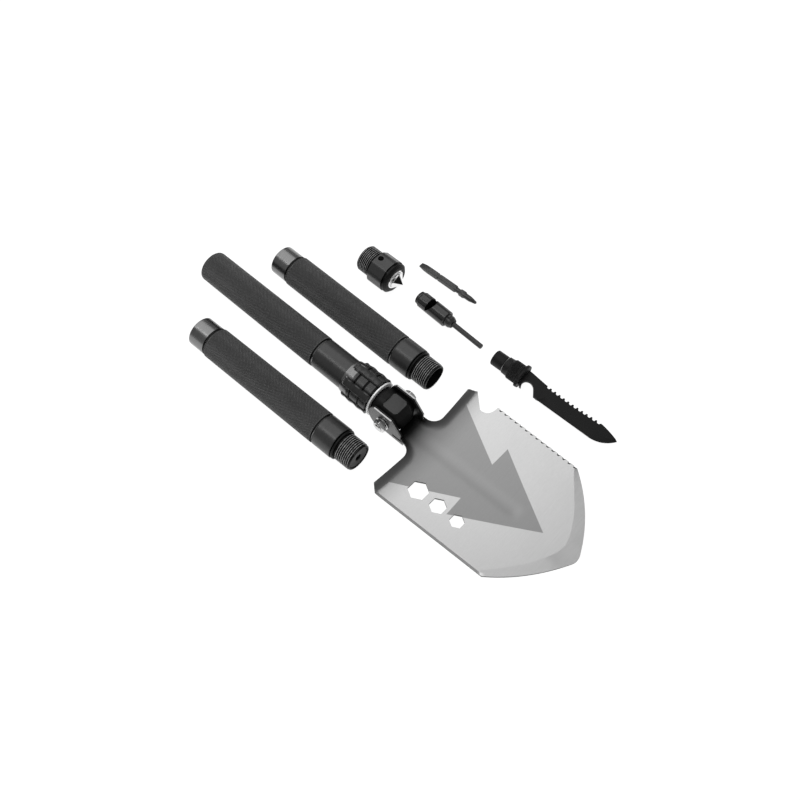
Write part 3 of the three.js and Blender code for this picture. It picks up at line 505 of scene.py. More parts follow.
def metal(name, dark, light, rough, grain, depth, metallic=0.0, crest_wear_and_sheen=None, **uniform):
    """rough is (least, most); grain is (noise per metre, stretch); the tone given for crests is painted on
    them in specks, partly rubbed wear and partly a painted highlight.
    """
    look = Finish(name)
    fine = look.noise(grain[0], grain[1], 6)
    broad = look.noise(55, (1, 1, 1), 3)
    both = look.sum(fine, broad, 0.4)
    color = look.tones(dark, light, look.span(both, 0, 1, 0.35, 0.65))
    # Crests take a lighter speckled tone: partly rubbed wear, partly a painted highlight.
    if crest_wear_and_sheen is not None:
        specks = look.noise(900, (1, 1, 1), 4)
        amount = look.nodes.new("ShaderNodeMath")
        amount.operation = "MULTIPLY"
        look.links.new(look.span(look.crest(), 0, 1, 0.55, 1.0), amount.inputs[0])
        look.links.new(look.span(specks, 0.35, 1.0, 0.35, 0.62), amount.inputs[1])
        color = look.tones(color, crest_wear_and_sheen, amount.outputs["Value"])
    roughness = look.span(both, rough[0], rough[1])
    look.relief(fine, depth)
    return look.wire(color, roughness, metallic, **uniform)


TURNING = (1500, (1, 0.06, 0.06))
DULL = {"Specular_IOR_Level": 0.16}
KNURLED = metal("knurled_anodised", 0.042, 0.062, (0.36, 0.5), (1400, (1, 1, 1)), 0.03, crest_wear_and_sheen=0.27)
SATIN = metal("satin_anodised", 0.026, 0.038, (0.26, 0.38), TURNING, 0.012)
GLOSS = metal("gloss_anodised", 0.17, 0.22, (0.22, 0.30), TURNING, 0.006, 1.0)
WHISTLE = metal("whistle_anodised", 0.014, 0.022, (0.16, 0.26), TURNING, 0.006)
# Thread roots near black as painted shade; the light crest tone is a painted highlight as well as wear.
THREADED = metal("threaded_anodised", 0.004, 0.008, (0.16, 0.26), TURNING, 0.01, crest_wear_and_sheen=0.42, **DULL)
BEAD = metal("bead_edge", 0.20, 0.30, (0.16, 0.26), TURNING, 0.006, 1.0)
DARK = metal("black_oxide", 0.005, 0.008, (0.34, 0.48), (1200, (1, 1, 1)), 0.02, **DULL)
COLLAR = metal("collar_anodised", 0.018, 0.028, (0.24, 0.36), TURNING, 0.015)
GREY = metal("grey_face", 0.026, 0.036, (0.45, 0.6), (1600, (1, 0.3, 1)), 0.02)
EAR_FACE = metal("ear_face", 0.13, 0.18, (0.4, 0.52), (1600, (1, 1, 0.2)), 0.02, 1.0)
# Near-black, dull finish for bores, sockets, groove floors and other recesses: painted shade.
RECESS_SHADE = metal("recess_painted_shade", 0.003, 0.006, (0.4, 0.55), TURNING, 0.01, **DULL)
COATED = metal("blade_coating", 0.008, 0.012, (0.42, 0.55), (1300, (1, 1, 1)), 0.025, **DULL)
KNIFE_GRIP = metal("knife_grip", 0.010, 0.016, (0.36, 0.5), (1300, (1, 1, 1)), 0.025, crest_wear_and_sheen=0.2, **DULL)
BIT_STEEL = metal("bit_steel", 0.020, 0.032, (0.3, 0.42), (1500, (0.2, 1, 1)), 0.015)
CUT_EDGE = metal("cut_edge", 0.015, 0.03, (0.3, 0.45), (2400, (1, 0.1, 1)), 0.01, 1.0)
GROUND_EDGE = metal("ground_edge", 0.34, 0.46, (0.25, 0.4), (2400, (1, 0.1, 1)), 0.01, 1.0)
BOLT = metal("zinc_plate", 0.60, 0.74, (0.16, 0.28), (700, (1, 1, 1)), 0.01, 1.0)
RING_STEEL = metal("ring_steel", 0.90, 0.97, (0.3, 0.42), (900, (1, 1, 1)), 0.008, 0.2)
CHROME = metal("polished", 0.82, 0.9, (0.06, 0.12), (1600, (1, 0.1, 0.1)), 0.003, 1.0)
RUBBER = metal("rubber", 0.005, 0.009, (0.32, 0.5), (900, (1, 1, 1)), 0.01, **DULL)
FERRO = metal("ferro_rod", 0.028, 0.05, (0.5, 0.7), (1100, (0.3, 1, 1)), 0.04)


def blade_finish(name, dark, light, rough, grain, depth):
    """Brushed across the blade, with painted shade that darkens the colour towards the neck."""
    look = Finish(name)
    fine = look.noise(grain, (1, 0.035, 1), 6)
    scratch = look.noise(grain * 0.4, (1, 0.02, 1), 2)
    broad = look.noise(28, (1, 1, 1), 3)
    both = look.sum(look.sum(fine, scratch, 0.4), broad, 0.35)
    color = look.tones(dark, light, look.span(both, 0, 1, 0.35, 0.65))
    parts = look.nodes.new("ShaderNodeSeparateXYZ")
    look.links.new(look.coords, parts.inputs["Vector"])
    # Painted shade: the colour darkens to near black towards the neck (low X), where the channel between
    # the ears lies in shade.
    near = look.span(parts.outputs["X"], 1.0, 0.0, 0.020, 0.062)
    neck_shade = look.nodes.new("ShaderNodeMath")
    neck_shade.operation = "POWER"
    neck_shade.inputs[1].default_value = 1.6
    look.links.new(near, neck_shade.inputs[0])
    color = look.tones(color, 0.022, neck_shade.outputs["Value"])
    look.relief(fine, depth)
    return look.wire(color, look.span(both, *rough), 1.0)


BRIGHT_STEEL = blade_finish("blade_bright", 0.50, 0.58, (0.36, 0.46), 3200, 0.006)
MATTE_STEEL = blade_finish("blade_matte", 0.29, 0.335, (0.44, 0.56), 2600, 0.010)

# ---------------------------------------------------------------- grip, hinge and collar

grip = turned(
    plain([(GRIP_END, SOCKET_RADIUS + 0.3), (GRIP_END, 15.3)], 1)
    + plain([(GRIP_END + 0.5, 15.9), (GRIP_END + 1.4, 16.1)], 1)
    + knurl(GRIP_END + 1.6, GRIP_KNURL_END, KNURL_RADIUS, KNURL_DEPTH)
    + plain([(GRIP_KNURL_END + 0.1, 15.1), (GRIP_KNURL_END + 1.1, 15.1)], 3)
    + bead(GRIP_KNURL_END + 1.3, GRIP_KNURL_END + 2.9, 15.2, SMOOTH_RADIUS, 2)
    + plain([(GRIP_KNURL_END + 3.2, SMOOTH_RADIUS), (HANDLE_FRONT - 0.3, SMOOTH_RADIUS)], 1)
    + plain([(HANDLE_FRONT, SMOOTH_RADIUS - 0.3), (HANDLE_FRONT, GRIP_BORE)], 3)
    + plain([(-64, GRIP_BORE), (-230, GRIP_BORE)], 3)
    + thread(-230.2, GRIP_END + 1, 13.2, SOCKET_RADIUS, 3)
    + plain([(GRIP_END + 0.2, SOCKET_RADIUS)], 3),
    closed=True,
)
grip_looks = [KNURLED, SATIN, BEAD, RECESS_SHADE]
put(object_of("grip_tube", grip), "shovel", "handle", ["handle_tube"], grip_looks)



def ball_radius(x):
    """The hinge head's front: its full radius, then a ball."""
    return min(HEAD_RADIUS, math.sqrt(BALL_RADIUS**2 - x * x))


head = turned(
    plain([(-85, 0), (-85, 11.8), (-84.6, 12.2), (HANDLE_FRONT + 0.3, 12.2)])
    + thread(HANDLE_FRONT + 0.5, -20, 12.9, 13.6)
    + plain([(-18.2, 13.4), (-14.3, 13.6), (-14, 13.9), (-14, 15.6), (-13.7, HEAD_RADIUS)])
    + plain([(x, ball_radius(x)) for x in np.linspace(-8, HEAD_RADIUS, 24)])
    + plain([(HEAD_RADIUS, 0)]),
    FINE,
)
barrel = arc((0, 0), HEAD_RADIUS, 90, -90, 48) + [(0, -40), (40, -40), (40, 40), (0, 40)]
cuts = [prism(barrel, -30, 30)]
for side in (-1, 1):
    low, high = sorted((side * HEAD_TOP, side * FAR))
    cuts.append(box(-8, FAR, -30, 30, low, high, finish=1))
    low, high = sorted((side * HEAD_SIDE, side * FAR))
    cuts.append(box(RING_FRONT + 0.15, FAR, low, high, -30, 30))
cuts.append(bar("y", PIN_HOLE, -30, 30))
hinge = carve(object_of("hinge_ball", head), cuts)
put(hinge, "shovel", "handle", ["hinge_head"], [DARK, GREY])
for face in hinge.data.polygons:
    if face.normal.z > 0.999 and face.center.z > 13 * MM:
        face.material_index = 1

ring = turned(
    plain([(-20, 13.9), (-20, RING_RADIUS - 0.3), (-19.6, RING_RADIUS), (-18.6, RING_RADIUS)])
    + plain([(RING_FRONT, RING_RADIUS - 0.3), (RING_FRONT, 13.9)]),
    FINE,
    closed=True,
)
put(object_of("thrust_washer", ring), "shovel", "thrust_ring", ["thrust_ring"], [RING_STEEL])


def collar_radius(x):
    """Rails stand along the collar. The panels between them carry two wide grooves and fine ones."""

    def radius(angle):
        turn = (90 + RAIL_TURN) / 360 * TAU
        share = ((angle - turn) / TAU * RAIL_COUNT + 0.5) % 1.0 - 0.5
        across = np.abs(share) * TAU / RAIL_COUNT * COLLAR_RADIUS
        ramp = float(np.clip((x - COLLAR_REAR) / COLLAR_RAMP, 0, 1))
        body = COLLAR_BODY - COLLAR_TAPER * (1 - ramp)
        lobes = 0.35 * math.cos(TAU * (x - COLLAR_GROOVES[1]) / (COLLAR_GROOVES[1] - COLLAR_GROOVES[0]))
        rail = 1 - smooth(3.4, 4.3, across)
        rail = rail * float(smooth(-52.6, -49.6, x) * smooth(COLLAR_FRONT - 0.1, COLLAR_FRONT - 2.4, x))
        wide = sum(1.1 * math.exp(-(((x - at) / 0.85) ** 4)) for at in COLLAR_GROOVES)
        ribbed_part = wide < 0.2 and -44 < x < COLLAR_FRONT - 2.6
        fine = 0.16 * (0.5 + 0.5 * math.cos(TAU * x / 1.5)) if ribbed_part else 0
        slot = 0.75 * (smooth(4.1, 4.5, across) - smooth(5.0, 5.5, across)) * float(smooth(-51.5, -49, x))
        step = 1.2 * float(1 - smooth(COLLAR_FRONT - 1.6, COLLAR_FRONT - 2.4, x))
        high = rail * (COLLAR_RADIUS - 0.35 + lobes - body)
        return np.maximum(body - (wide + fine) * (1 - rail) - slot - step * (1 - rail) + high, 14.2)

    return radius


steps = np.arange(COLLAR_REAR, COLLAR_FRONT + 0.01, 0.275)
collar = turned(
    plain([(COLLAR_REAR, 16.1), *[(x, collar_radius(x)) for x in steps], (COLLAR_FRONT, 13.9)])
    + thread(COLLAR_FRONT - 0.4, -39.6, 13.9, 14.5)
    + plain([(-40, 13.9), (-40, 16.1)]),
    192,
    closed=True,
)
collar = object_of("lock_collar", collar, 50)


def on_ramp(side):
    """The outer cone at the collar's rear, between the rails."""
    x, out = side.center.x / MM, math.hypot(side.center.y, side.center.z) / MM
    cone = COLLAR_BODY - COLLAR_TAPER * (1 - (x - COLLAR_REAR) / COLLAR_RAMP)
    return COLLAR_REAR + 0.4 < x < COLLAR_REAR + COLLAR_RAMP and abs(out - cone) < 0.25


# Painted shade: the collar's wide grooves, slots and front step, below radius 17.75, take the near-black
# recess finish.
for side in collar.data.polygons:
    low = math.hypot(side.center.y, side.center.z) < 17.75 * MM
    if low and -45 * MM < side.center.x < (RING_FRONT - 1.9) * MM:
        side.material_index = 1
    if on_ramp(side):
        side.material_index = 2
put(collar, "shovel", "collar", ["locking_collar"], [COLLAR, RECESS_SHADE, GLOSS])

# ---------------------------------------------------------------- blade


def edge_distance(x, y):
    """Distance in from the rolled rear edge: the neck's sides, then the shoulders' line."""
    away = np.abs(y)
    centre_x, centre_y = FLANGE_LINE - FLARE, EAR_OUTER + FLARE
    corner = np.hypot(x - centre_x, away - centre_y) - FLARE
    return np.where(x < centre_x, EAR_OUTER - away, np.where(away > centre_y, x - FLANGE_LINE, corner))


def sheet_height(x, y):
    """Height of the sheet's middle surface above the pivot."""
    away = np.clip(np.abs(y) / SHOULDER_HALF, 0, 1)
    inwards = np.clip(edge_distance(x, y), 0, FLANGE_WIDTH) / FLANGE_WIDTH
    roll = ROLL_RISE * (1 - 0.35 * away) * (1 - inwards) ** 2
    across = np.clip(np.abs(y) / RIB_HALF, 0, 1)
    rib = RIB_DEPTH * smooth(0, 8, RIB_END - x) * (0.5 + 0.5 * np.cos(math.pi * across))
    dish = SHEET_DISH * (y / SHOULDER_HALF) ** 2
    return SHEET_DROP + SHEET_SLOPE * (x - SHOULDER_X) + dish + roll - rib


def hexagon(x, y, flats):
    corner = flats / 3**0.5
    turns = np.radians(range(30, 390, 60))
    return [(x + corner * math.cos(a), y + corner * math.sin(a)) for a in turns]


def along(points, step=2.0):
    """The same line with points close together, so that the sheet bends well along it."""
    line = [points[0]]
    for end in points[1:]:
        start = line[-1]
        count = max(1, round(math.dist(start, end) / step))
        line += [
            (start[0] + (end[0] - start[0]) * i / count, start[1] + (end[1] - start[1]) * i / count)
            for i in range(1, count + 1)
        ]
    return line


neck = (FLANGE_LINE - FLARE, EAR_OUTER + FLARE)
nose_end = (TIP_X - 1.6, 6)
left_front = [SIDE_END, *quadratic(SIDE_END, (184.5, 43.0), nose_end, 24)]
left_front = [(x, -y) for x, y in left_front]
nose = quadratic((TIP_X - 1.6, -6), (TIP_X + 1.6, 0), nose_end, 8)
right_front = quadratic(nose_end, (188.8, 42.4), SIDE_END, 24)
saw, gullet_shades = [], []
pitch = (SIDE_END[0] - SAW_START) / SAW_TEETH
slope = 2.4 / (SIDE_END[0] - SAW_START)
for i in reversed(range(SAW_TEETH)):
    x = SAW_START + i * pitch
    crest = SIDE_END[1] + slope * (SIDE_END[0] - x)
    next_crest = (x + pitch, crest - slope * pitch)
    crest_end = (x + 0.42 * pitch, crest)
    saw += [(x + 0.68 * pitch, crest - SAW_NOTCH), (x + 0.5 * pitch, crest - SAW_NOTCH)]
    saw += [crest_end, (x, crest)]
    # A dark patch behind each tooth, deeper than the cut notch: painted shade standing for the gullet's
    # depth.
    shade_bottom = [(x + share * pitch, crest - SAW_SHADE_DEPTH) for share in (0.74, 0.46)]
    gullet_shades.append([next_crest, *shade_bottom, crest_end])
left_shoulder = (SHOULDER_X, -SHOULDER_HALF)
opener = [(64.6, 63.4), *quadratic((64.6, 63.4), (62.4, 55.6), (54, 56.4), 8)]
OUTLINE = (
    along([(11.2, EAR_OUTER), (11.2, -EAR_OUTER), (neck[0], -EAR_OUTER)])
    + arc((neck[0], -neck[1]), FLARE, 90, 0, 9)[1:]
    + along([(FLANGE_LINE, -neck[1]), (FLANGE_LINE - 1.6, -63.6), left_shoulder, left_front[0]])[1:]
    + left_front[1:]
    + nose
    + right_front
    + saw
    + opener
    + along([(54, 56.4), (40.5, SHOULDER_HALF), (FLANGE_LINE - 1.6, 63.6), (FLANGE_LINE, neck[1])])[1:]
    + arc(neck, FLARE, 0, -90, 9)[1:-1]
)
BEVEL_INNER = along(
    [(154.3, 63.1), (165, 49.5), (174.2, 38.0), (180.2, 29.2), (185.0, 20.0), (188.6, 12.0), (190.6, 4.0)]
    + [(189.9, -4), (186.9, -12), (182.2, -21.4), (175.4, -33.1), (164.3, -47.8), (152.4, -62.4)],
    3,
)
SIDE_BEVEL = along([(42, -67.1), (152.2, -64.2)], 3)
ARROW_RIGHT = along([(39.6, 67.5), (41, 52.5), (97, 21.5), (98, 42), (170, 0)], 2.5)
ARROW_LEFT = [(x, -y) for x, y in reversed(ARROW_RIGHT)][1:]
ARROW = ARROW_RIGHT + ARROW_LEFT
HOLES = [along([*hexagon(x, WRENCH_Y, f), hexagon(x, WRENCH_Y, f)[0]], 2.5)[:-1] for x, f in WRENCH_HOLES]
FRONT = left_front + nose + right_front
MATTE_AREA = [*ARROW, (5, -72), (5, 72)]
BEVEL_AREA = [*BEVEL_INNER, *[(155.8, -68.0), *[(x + 3, y) for x, y in FRONT], (156, 69.0)]]


# Depth of the front grind: sideways places, and the depth at each.
FRONT_GRIND = ((-70, -19, -13, -5, 6, 70), (0.35, 0.35, 0.95, 0.95, 0.7, 0.7))
SIDE_GRIND = 1.5


def blade_top(points):
    """The upper surface, ground down along the pointed front and the plain side."""
    x, y = points[:, 0], points[:, 1]
    full = sheet_height(x, y) + SHEET / 2
    to_edge = line_distance(points, FRONT)
    to_face = line_distance(points, BEVEL_INNER)
    share = to_face / np.maximum(to_edge + to_face, 1e-6)
    front = np.where(inside(points, BEVEL_AREA) | (to_edge < 0.05), share, 0)
    side_y = 67.1 - 3.0 * (x - 42) / 112.6
    side = np.where((y < 0) & (x > 40.5) & (x < 155.5), np.clip((-y - side_y) / 1.8, 0, 1), 0)
    depth = np.interp(y, *FRONT_GRIND)
    return full - np.maximum(depth * front, SIDE_GRIND * side)


def blade_finish_of(centres):
    marks = np.zeros(len(centres), int)
    marks[inside(centres, MATTE_AREA)] = 1
    # Painted shade: the gullet patches take the dark finish.
    for gullet_shade in gullet_shades:
        marks[inside(centres, gullet_shade)] = 4
    return marks


def blade_bottom(points):
    return sheet_height(points[:, 0], points[:, 1]) - SHEET / 2


blade = Build()
sheet(
    OUTLINE,
    HOLES,
    [BEVEL_INNER, SIDE_BEVEL, ARROW, *gullet_shades],
    2.4,
    blade_top,
    blade_bottom,
    blade_finish_of,
    blade,
    flat_space,
    rim=5,
)
sweep = 18
rear_angle = 180 + math.degrees(math.asin(12.7 / sweep))
top_angle = 180 - math.degrees(math.asin(14.3 / sweep))
EAR = (
    [(-11.5, -12.7)]
    + arc((0, 0), sweep - 0.2, rear_angle, top_angle, 16)
    + along([(-10.6, 14.3), (9.7, 14.3), (21, -1)])[1:]
    + [(21.2, -3), (20.4, -6), (20.6, -7.4), (24, -9.5), (24, -13.3), (12, -13.3)]
)
BOLT_HOLE = arc((0, 0), PIN_HOLE, 360, 0, 40)[:-1]
EAR_SHADE_SPLIT = 14.9  # where an ear's lighter outer half meets its inner half, whose faces and edges take the dark finish as painted shade in the channel between the ears
EAR_HALVES_AND_SHADE = ((EAR_SHADE_SPLIT, EAR_OUTER, 3, 2), (EAR_INNER, EAR_SHADE_SPLIT - 0.02, 4, 4))
# Painted shade: the inner half of each ear, faces and cut edges, takes the dark finish.
for side in (-1, 1):
    for near, far, face_finish, rim_finish in EAR_HALVES_AND_SHADE:
        sheet(
            EAR,
            [BOLT_HOLE],
            [],
            2.4,
            lambda p, v=side * far: np.full(len(p), float(v)),
            lambda p, v=side * near: np.full(len(p), float(v)),
            lambda c, v=face_finish: np.full(len(c), v),
            blade,
            side_space,
            rim=rim_finish,
        )
sheet_blade = object_of("shovel_blade", blade, 30)


def crease(thing, lines, reach=0.06):
    """Marks the edges that lie on a drawn line as sharp, so that a ground facet reads crisply."""
    mesh = thing.data
    points = np.array([v.co for v in mesh.vertices])[:, :2] / MM
    on = np.zeros(len(points), bool)
    for line in lines:
        on |= line_distance(points, line) < reach
    sharp = mesh.attributes.get("sharp_edge") or mesh.attributes.new("sharp_edge", "BOOLEAN", "EDGE")
    for edge in mesh.edges:
        if on[edge.vertices[0]] and on[edge.vertices[1]]:
            sharp.data[edge.index].value = True


crease(sheet_blade, [BEVEL_INNER, SIDE_BEVEL])
blade_looks = [BRIGHT_STEEL, MATTE_STEEL, GROUND_EDGE, EAR_FACE, DARK, CUT_EDGE]
put(sheet_blade, "shovel", "blade", ["blade"], blade_looks)

# ---------------------------------------------------------------- pivot bolt, nut and washers


def hex_head(start, end, flats, finish=0):
    corner = flats / 3**0.5
    shape = many_sided(6, flats)
    rise = 0.13 * flats
    low, high = min(start, end), max(start, end)
    return [
        (low, least(shape, flats / 2 * 0.97)),
        (low + 0.3 * rise, least(shape, corner * 0.965)),
        (low + rise * 0.6, shape),
        (high - rise * 0.6, shape),
        (high - 0.3 * rise, least(shape, corner * 0.965)),
        (high, least(shape, flats / 2 * 0.97)),
    ]


def crosswise(build):
    """Turns a piece that was made along X so that it lies along Y."""
    points = [(-y, x, z) for x, y, z in build.verts]
    return Build().add(points, build.faces, build.finish, build.flat, build.crest)


face = EAR_OUTER + WASHER + 0.6
bolt = turned(
    plain([(-24, 0), (-24, 3.2), (-23.4, BOLT_RADIUS)])
    + thread(-23.4, -17, 3.45, BOLT_RADIUS, pitch=BOLT_PITCH)
    + plain([(-16.8, BOLT_RADIUS), (face, BOLT_RADIUS)])
    + plain([*hex_head(face, face + BOLT_HEAD, 12), (face + BOLT_HEAD, 0)]),
    FINE,
)
nut_rear = -EAR_OUTER - 0.6 - WASHER - NUT_HEIGHT
nut = turned(
    plain([*hex_head(nut_rear, nut_rear + NUT_HEIGHT, 11.6), (nut_rear + NUT_HEIGHT, PIN_HOLE)])
    + thread(nut_rear + 4.9, nut_rear + 0.1, 4.1, 4.3, pitch=BOLT_PITCH)
    + plain([(nut_rear, PIN_HOLE)]),
    FINE,
    closed=True,
)
put(object_of("hinge_bolt", crosswise(bolt)), "shovel", "blade", ["pivot_bolt"], [BOLT])
put(object_of("hinge_nut", crosswise(nut)), "shovel", "blade", ["pivot_nut"], [BOLT])
for name, start in (("left", -EAR_OUTER - 1.5), ("right", EAR_OUTER + 0.3)):
    profile = [(0, PIN_HOLE), (0, 6.8), (0.2, 7), (1.0, 7), (WASHER, 6.8), (WASHER, PIN_HOLE)]
    washer = turned(plain([(start + x, r) for x, r in profile]), FINE, closed=True)
    thing = object_of(f"hinge_washer_{name}", crosswise(washer))
    put(thing, "shovel", "blade", [f"pivot_washer_{name}"], [BOLT])

# ---------------------------------------------------------------- extension tubes

for which in ("lower", "upper"):
    tube = turned(
        plain([(0.0, SOCKET_RADIUS + 0.2), (0, 14.75), (0.5, 15.25)], 1)
        + plain([(0.6, 15.25), (18.7, 15.25)], 2)
        + plain([(18.9, 14.75), (20.2, 14.75)], 4)
        + bead(20.4, 21.9, 14.9, 16.1, 3)
        + knurl(22.1, 160.6, KNURL_RADIUS, KNURL_DEPTH)
        + plain([(160.8, 15.15), (161.6, 15.15)], 4)
        + bead(161.8, 163.1, 15.3, 16.0, 3)
        + plain([(163.2, 16.0), (183.5, 16.0), (184, 15.6)], 1)
        + plain([(184, 13), (188, 13)], 4)
        + thread(188.1, 205.2, 12.8, THREAD_RADIUS, 5)
        + plain([(205.4, 13.4), (TUBE_LENGTH, 12.8)], 5)
        + plain([(TUBE_LENGTH, TUBE_BORE), (20, TUBE_BORE)], 4)
        + thread(20, 0.6, 13.2, SOCKET_RADIUS, 4)
        + plain([(0.2, SOCKET_RADIUS)], 4),
        closed=True,
    )
    looks = [KNURLED, SATIN, GLOSS, BEAD, RECESS_SHADE, THREADED]
    place, node = f"{which}_tube", f"{which}_tube"
    put(object_of(f"{which}_extension", tube), place, node, [node], looks)
    seal = [(186 + 1.1 * math.cos(a), 14.4 + 1.1 * math.sin(a)) for a in np.arange(0, TAU, TAU / 16)]
    thing = object_of(f"{which}_seal", turned(plain(seal), FINE, closed=True), 80)
    put(thing, place, node, [f"{node}_oring"], [RUBBER])

hex_socket = many_sided(6, 6.8, math.pi / 6)
plug = turned(
    plain([(189.4, 0), (189.4, 11.3), (204.8, 11.3), (205.4, 10.7)])
    + plain([(205.4, 4.9), (205.0, least(hex_socket, 4.4)), (204.4, hex_socket)], 1)
    + plain([(193.4, hex_socket), (193.4, 0)], 1),
    FINE,
)
plug = object_of("bit_holder", plug)
put(plug, "lower_tube", "lower_tube", ["bit_socket_plug"], [GREY, RECESS_SHADE])

# ---------------------------------------------------------------- hammer cap

octagon = least(many_sided(8, 32.8), 16.9)
cap = turned(
    plain([(0, 10.5), (0, 12.9)], 1)
    + thread(0.1, 14.8, 12.8, THREAD_RADIUS, 1)
    + plain([(15.2, 13), (16.5, 13)], 1)
    + plain([(16.6, 15.4), (17.2, octagon), (35.6, octagon)])
    + plain([(35.9, 15.4), (36.2, 15.1), (37.1, 15.1)], 1)
    + plain([(37.5, 15.9), (37.9, 16.3), (39.0, 16.3), (41.2, 14.0), (CAP_FACE, 13.6)], 3)
    + plain([(CAP_FACE, 10.9), (CAP_FACE - 0.3, 10.6), (34.4, 10.6)], 2)
    + plain([(34.4, 6.3), (23.4, 6.3), (23.4, 0)], 2)
    + plain([(12, 0), (12, 10.5)], 2),
    FINE,
    closed=True,
)
cap = carve(object_of("hammer_cap_body", cap), [bar("z", 3.0, -30, 30, (21.6, 0), finish=0)])
put(cap, "cap", "hammer_cap", ["cap_body"], [SATIN, THREADED, RECESS_SHADE, DARK])

rim = turned(
    plain([(34.7, 8.6), (34.7, 10.3), (41.3, 10.3), (41.8, 9.9), (42, 9.6), (42, 9.2), (41.6, 8.6)]),
    FINE,
    closed=True,
)
put(object_of("hammer_cap_ring", rim), "cap", "hammer_cap", ["cap_ring"], [CHROME])


def point_radius(x):
    """A cone whose front is ground to four faces."""
    cone = 7.9 * (CAP_APEX - x) / (CAP_APEX - CAP_CONE)
    pyramid = many_sided(4, 2 * 0.83 * max(CAP_APEX - x, 0), math.radians(FACET_TURN))
    return least(pyramid, max(cone, 0))


tip = turned(
    plain([(24.4, 0), (24.4, 5.6), (24.8, 6), (34.7, 6), (34.7, 8.3), (41.9, 8.3)])
    + plain([(42.2, 8.1), (43.4, 8.1)])
    + plain([(CAP_CONE, least(point_radius(CAP_CONE), 7.9))])
    + plain([(x, point_radius(x)) for x in np.linspace(44.2, CAP_APEX - 0.1, 14)] + [(CAP_APEX, 0)]),
    FINE,
)
tip = object_of("glass_breaker", tip, 12)
# Painted dark reflection: the ground facet turned to FACET_TURN takes the dark finish in place of the
# polished one.
for side in tip.data.polygons:
    facing = math.degrees(math.atan2(side.normal.z, side.normal.y))
    if side.center.x > 44 * MM and abs(facing - (90 - FACET_TURN)) < 12:
        side.material_index = 1
put(tip, "cap", "hammer_cap", ["breaker_tip"], [CHROME, DARK])

# ---------------------------------------------------------------- driver bit

shank_hex = many_sided(6, 6.35)
shank_groove = least(shank_hex, 3.2)


def flat_blade(x):
    """The flat end: a thin blade that thickens towards the hexagon."""
    half_thick = 0.45 + 0.24 * x
    half_wide = 2.6 + 0.06 * x

    def radius(angle):
        sides = half_thick / np.maximum(np.abs(np.sin(angle)), 1e-6)
        edges = half_wide / np.maximum(np.abs(np.cos(angle)), 1e-6)
        return np.minimum.reduce([sides, edges, shank_hex(angle)])

    return radius


def cross_point(x):
    """The cross end: four flutes that deepen towards the tip."""
    t = (x - CROSS_START) / (BIT_LENGTH - CROSS_START)
    outer = 2.8 - 1.5 * max(t, 0) ** 1.5

    def radius(angle):
        flute = (0.5 + 0.5 * np.cos(4 * angle)) ** 0.7
        return outer * (1 - 0.6 * float(smooth(0, 0.5, t)) * (1 - flute))

    return radius


bit = turned(
    plain([(0, 0)])
    + plain([(x, flat_blade(x)) for x in (0, 0.3, 2, 4, 6, 8, 10, 11.2)])
    + plain([(11.8, shank_hex), (23.5, shank_hex), (23.7, shank_groove), (24.9, shank_groove)])
    + plain([(25.1, shank_hex), (47, shank_hex), (48.5, 2.6), (51.5, 2.6), (53, shank_hex)])
    + plain([(58, shank_hex)])
    + plain([(60, 2.8), (CROSS_START, 2.8)])
    + plain([(x, cross_point(x)) for x in np.linspace(CROSS_START + 0.3, BIT_LENGTH - 0.6, 12)])
    + plain([(BIT_LENGTH, 0.5), (BIT_LENGTH, 0)]),
    FINE,
)
put(object_of("double_bit", bit, 28), "bit", "driver_bit", ["driver_bit"], [BIT_STEEL])

# ---------------------------------------------------------------- whistle and fire rod

end_cap = turned(
    plain([(0, 0), (0, 5.6), (0.5, 6.5), (0.7, 6.8), (1.5, 6.8), (1.7, 6.2), (2.4, 6.2)])
    + plain([(2.6, 6.9), (2.8, 7.2), (3.7, 7.2), (4, 6.9), (4, 4.4)])
    + thread(4.2, 8.8, 4.1, 4.4, pitch=1.0)
    + plain([(9, 4), (9, 0)]),
    FINE,
)
put(object_of("whistle_end", end_cap), "whistle", "whistle", ["whistle_cap"], [SATIN])


def ribbed(x, radius):
    """The whistle's rear band, with shallow grip flutes round it."""
    return lambda angle: radius - 0.22 * (0.5 + 0.5 * np.cos(24 * angle)) ** 2 * float(smooth(5.2, 6, x))


body = turned(
    plain([(4.3, 4.7), (4.3, 7.5), (4.7, 8.0), (5.0, 8.2)])
    + plain([(x, ribbed(x, 8.2)) for x in np.arange(5.2, 12.6, 0.6)])
    + plain([(12.9, 7.9), (13.2, 7.9), (13.5, 8.3), (38.3, 8.3), (38.9, 7.7), (38.9, 6.6), (38.7, 6.4)])
    + plain([(15.5, 6.4), (15.5, 0), (10, 0), (10, 4.7)], 1),
    FINE,
    closed=True,
)
window = prism([(15, 0.4), (16.2, 0.4), (25, 12), (15, 12)], -12, 12)
whistle = carve(object_of("whistle_tube", body), [window])
# Painted shade: the inside faces seen through the window take the near-black recess finish.
for side in whistle.data.polygons:
    if 14.9 * MM < side.center.x < 24 * MM and math.hypot(side.center.y, side.center.z) < 7.9 * MM:
        side.material_index = 1
put(whistle, "whistle", "whistle", ["whistle_body"], [WHISTLE, RECESS_SHADE])

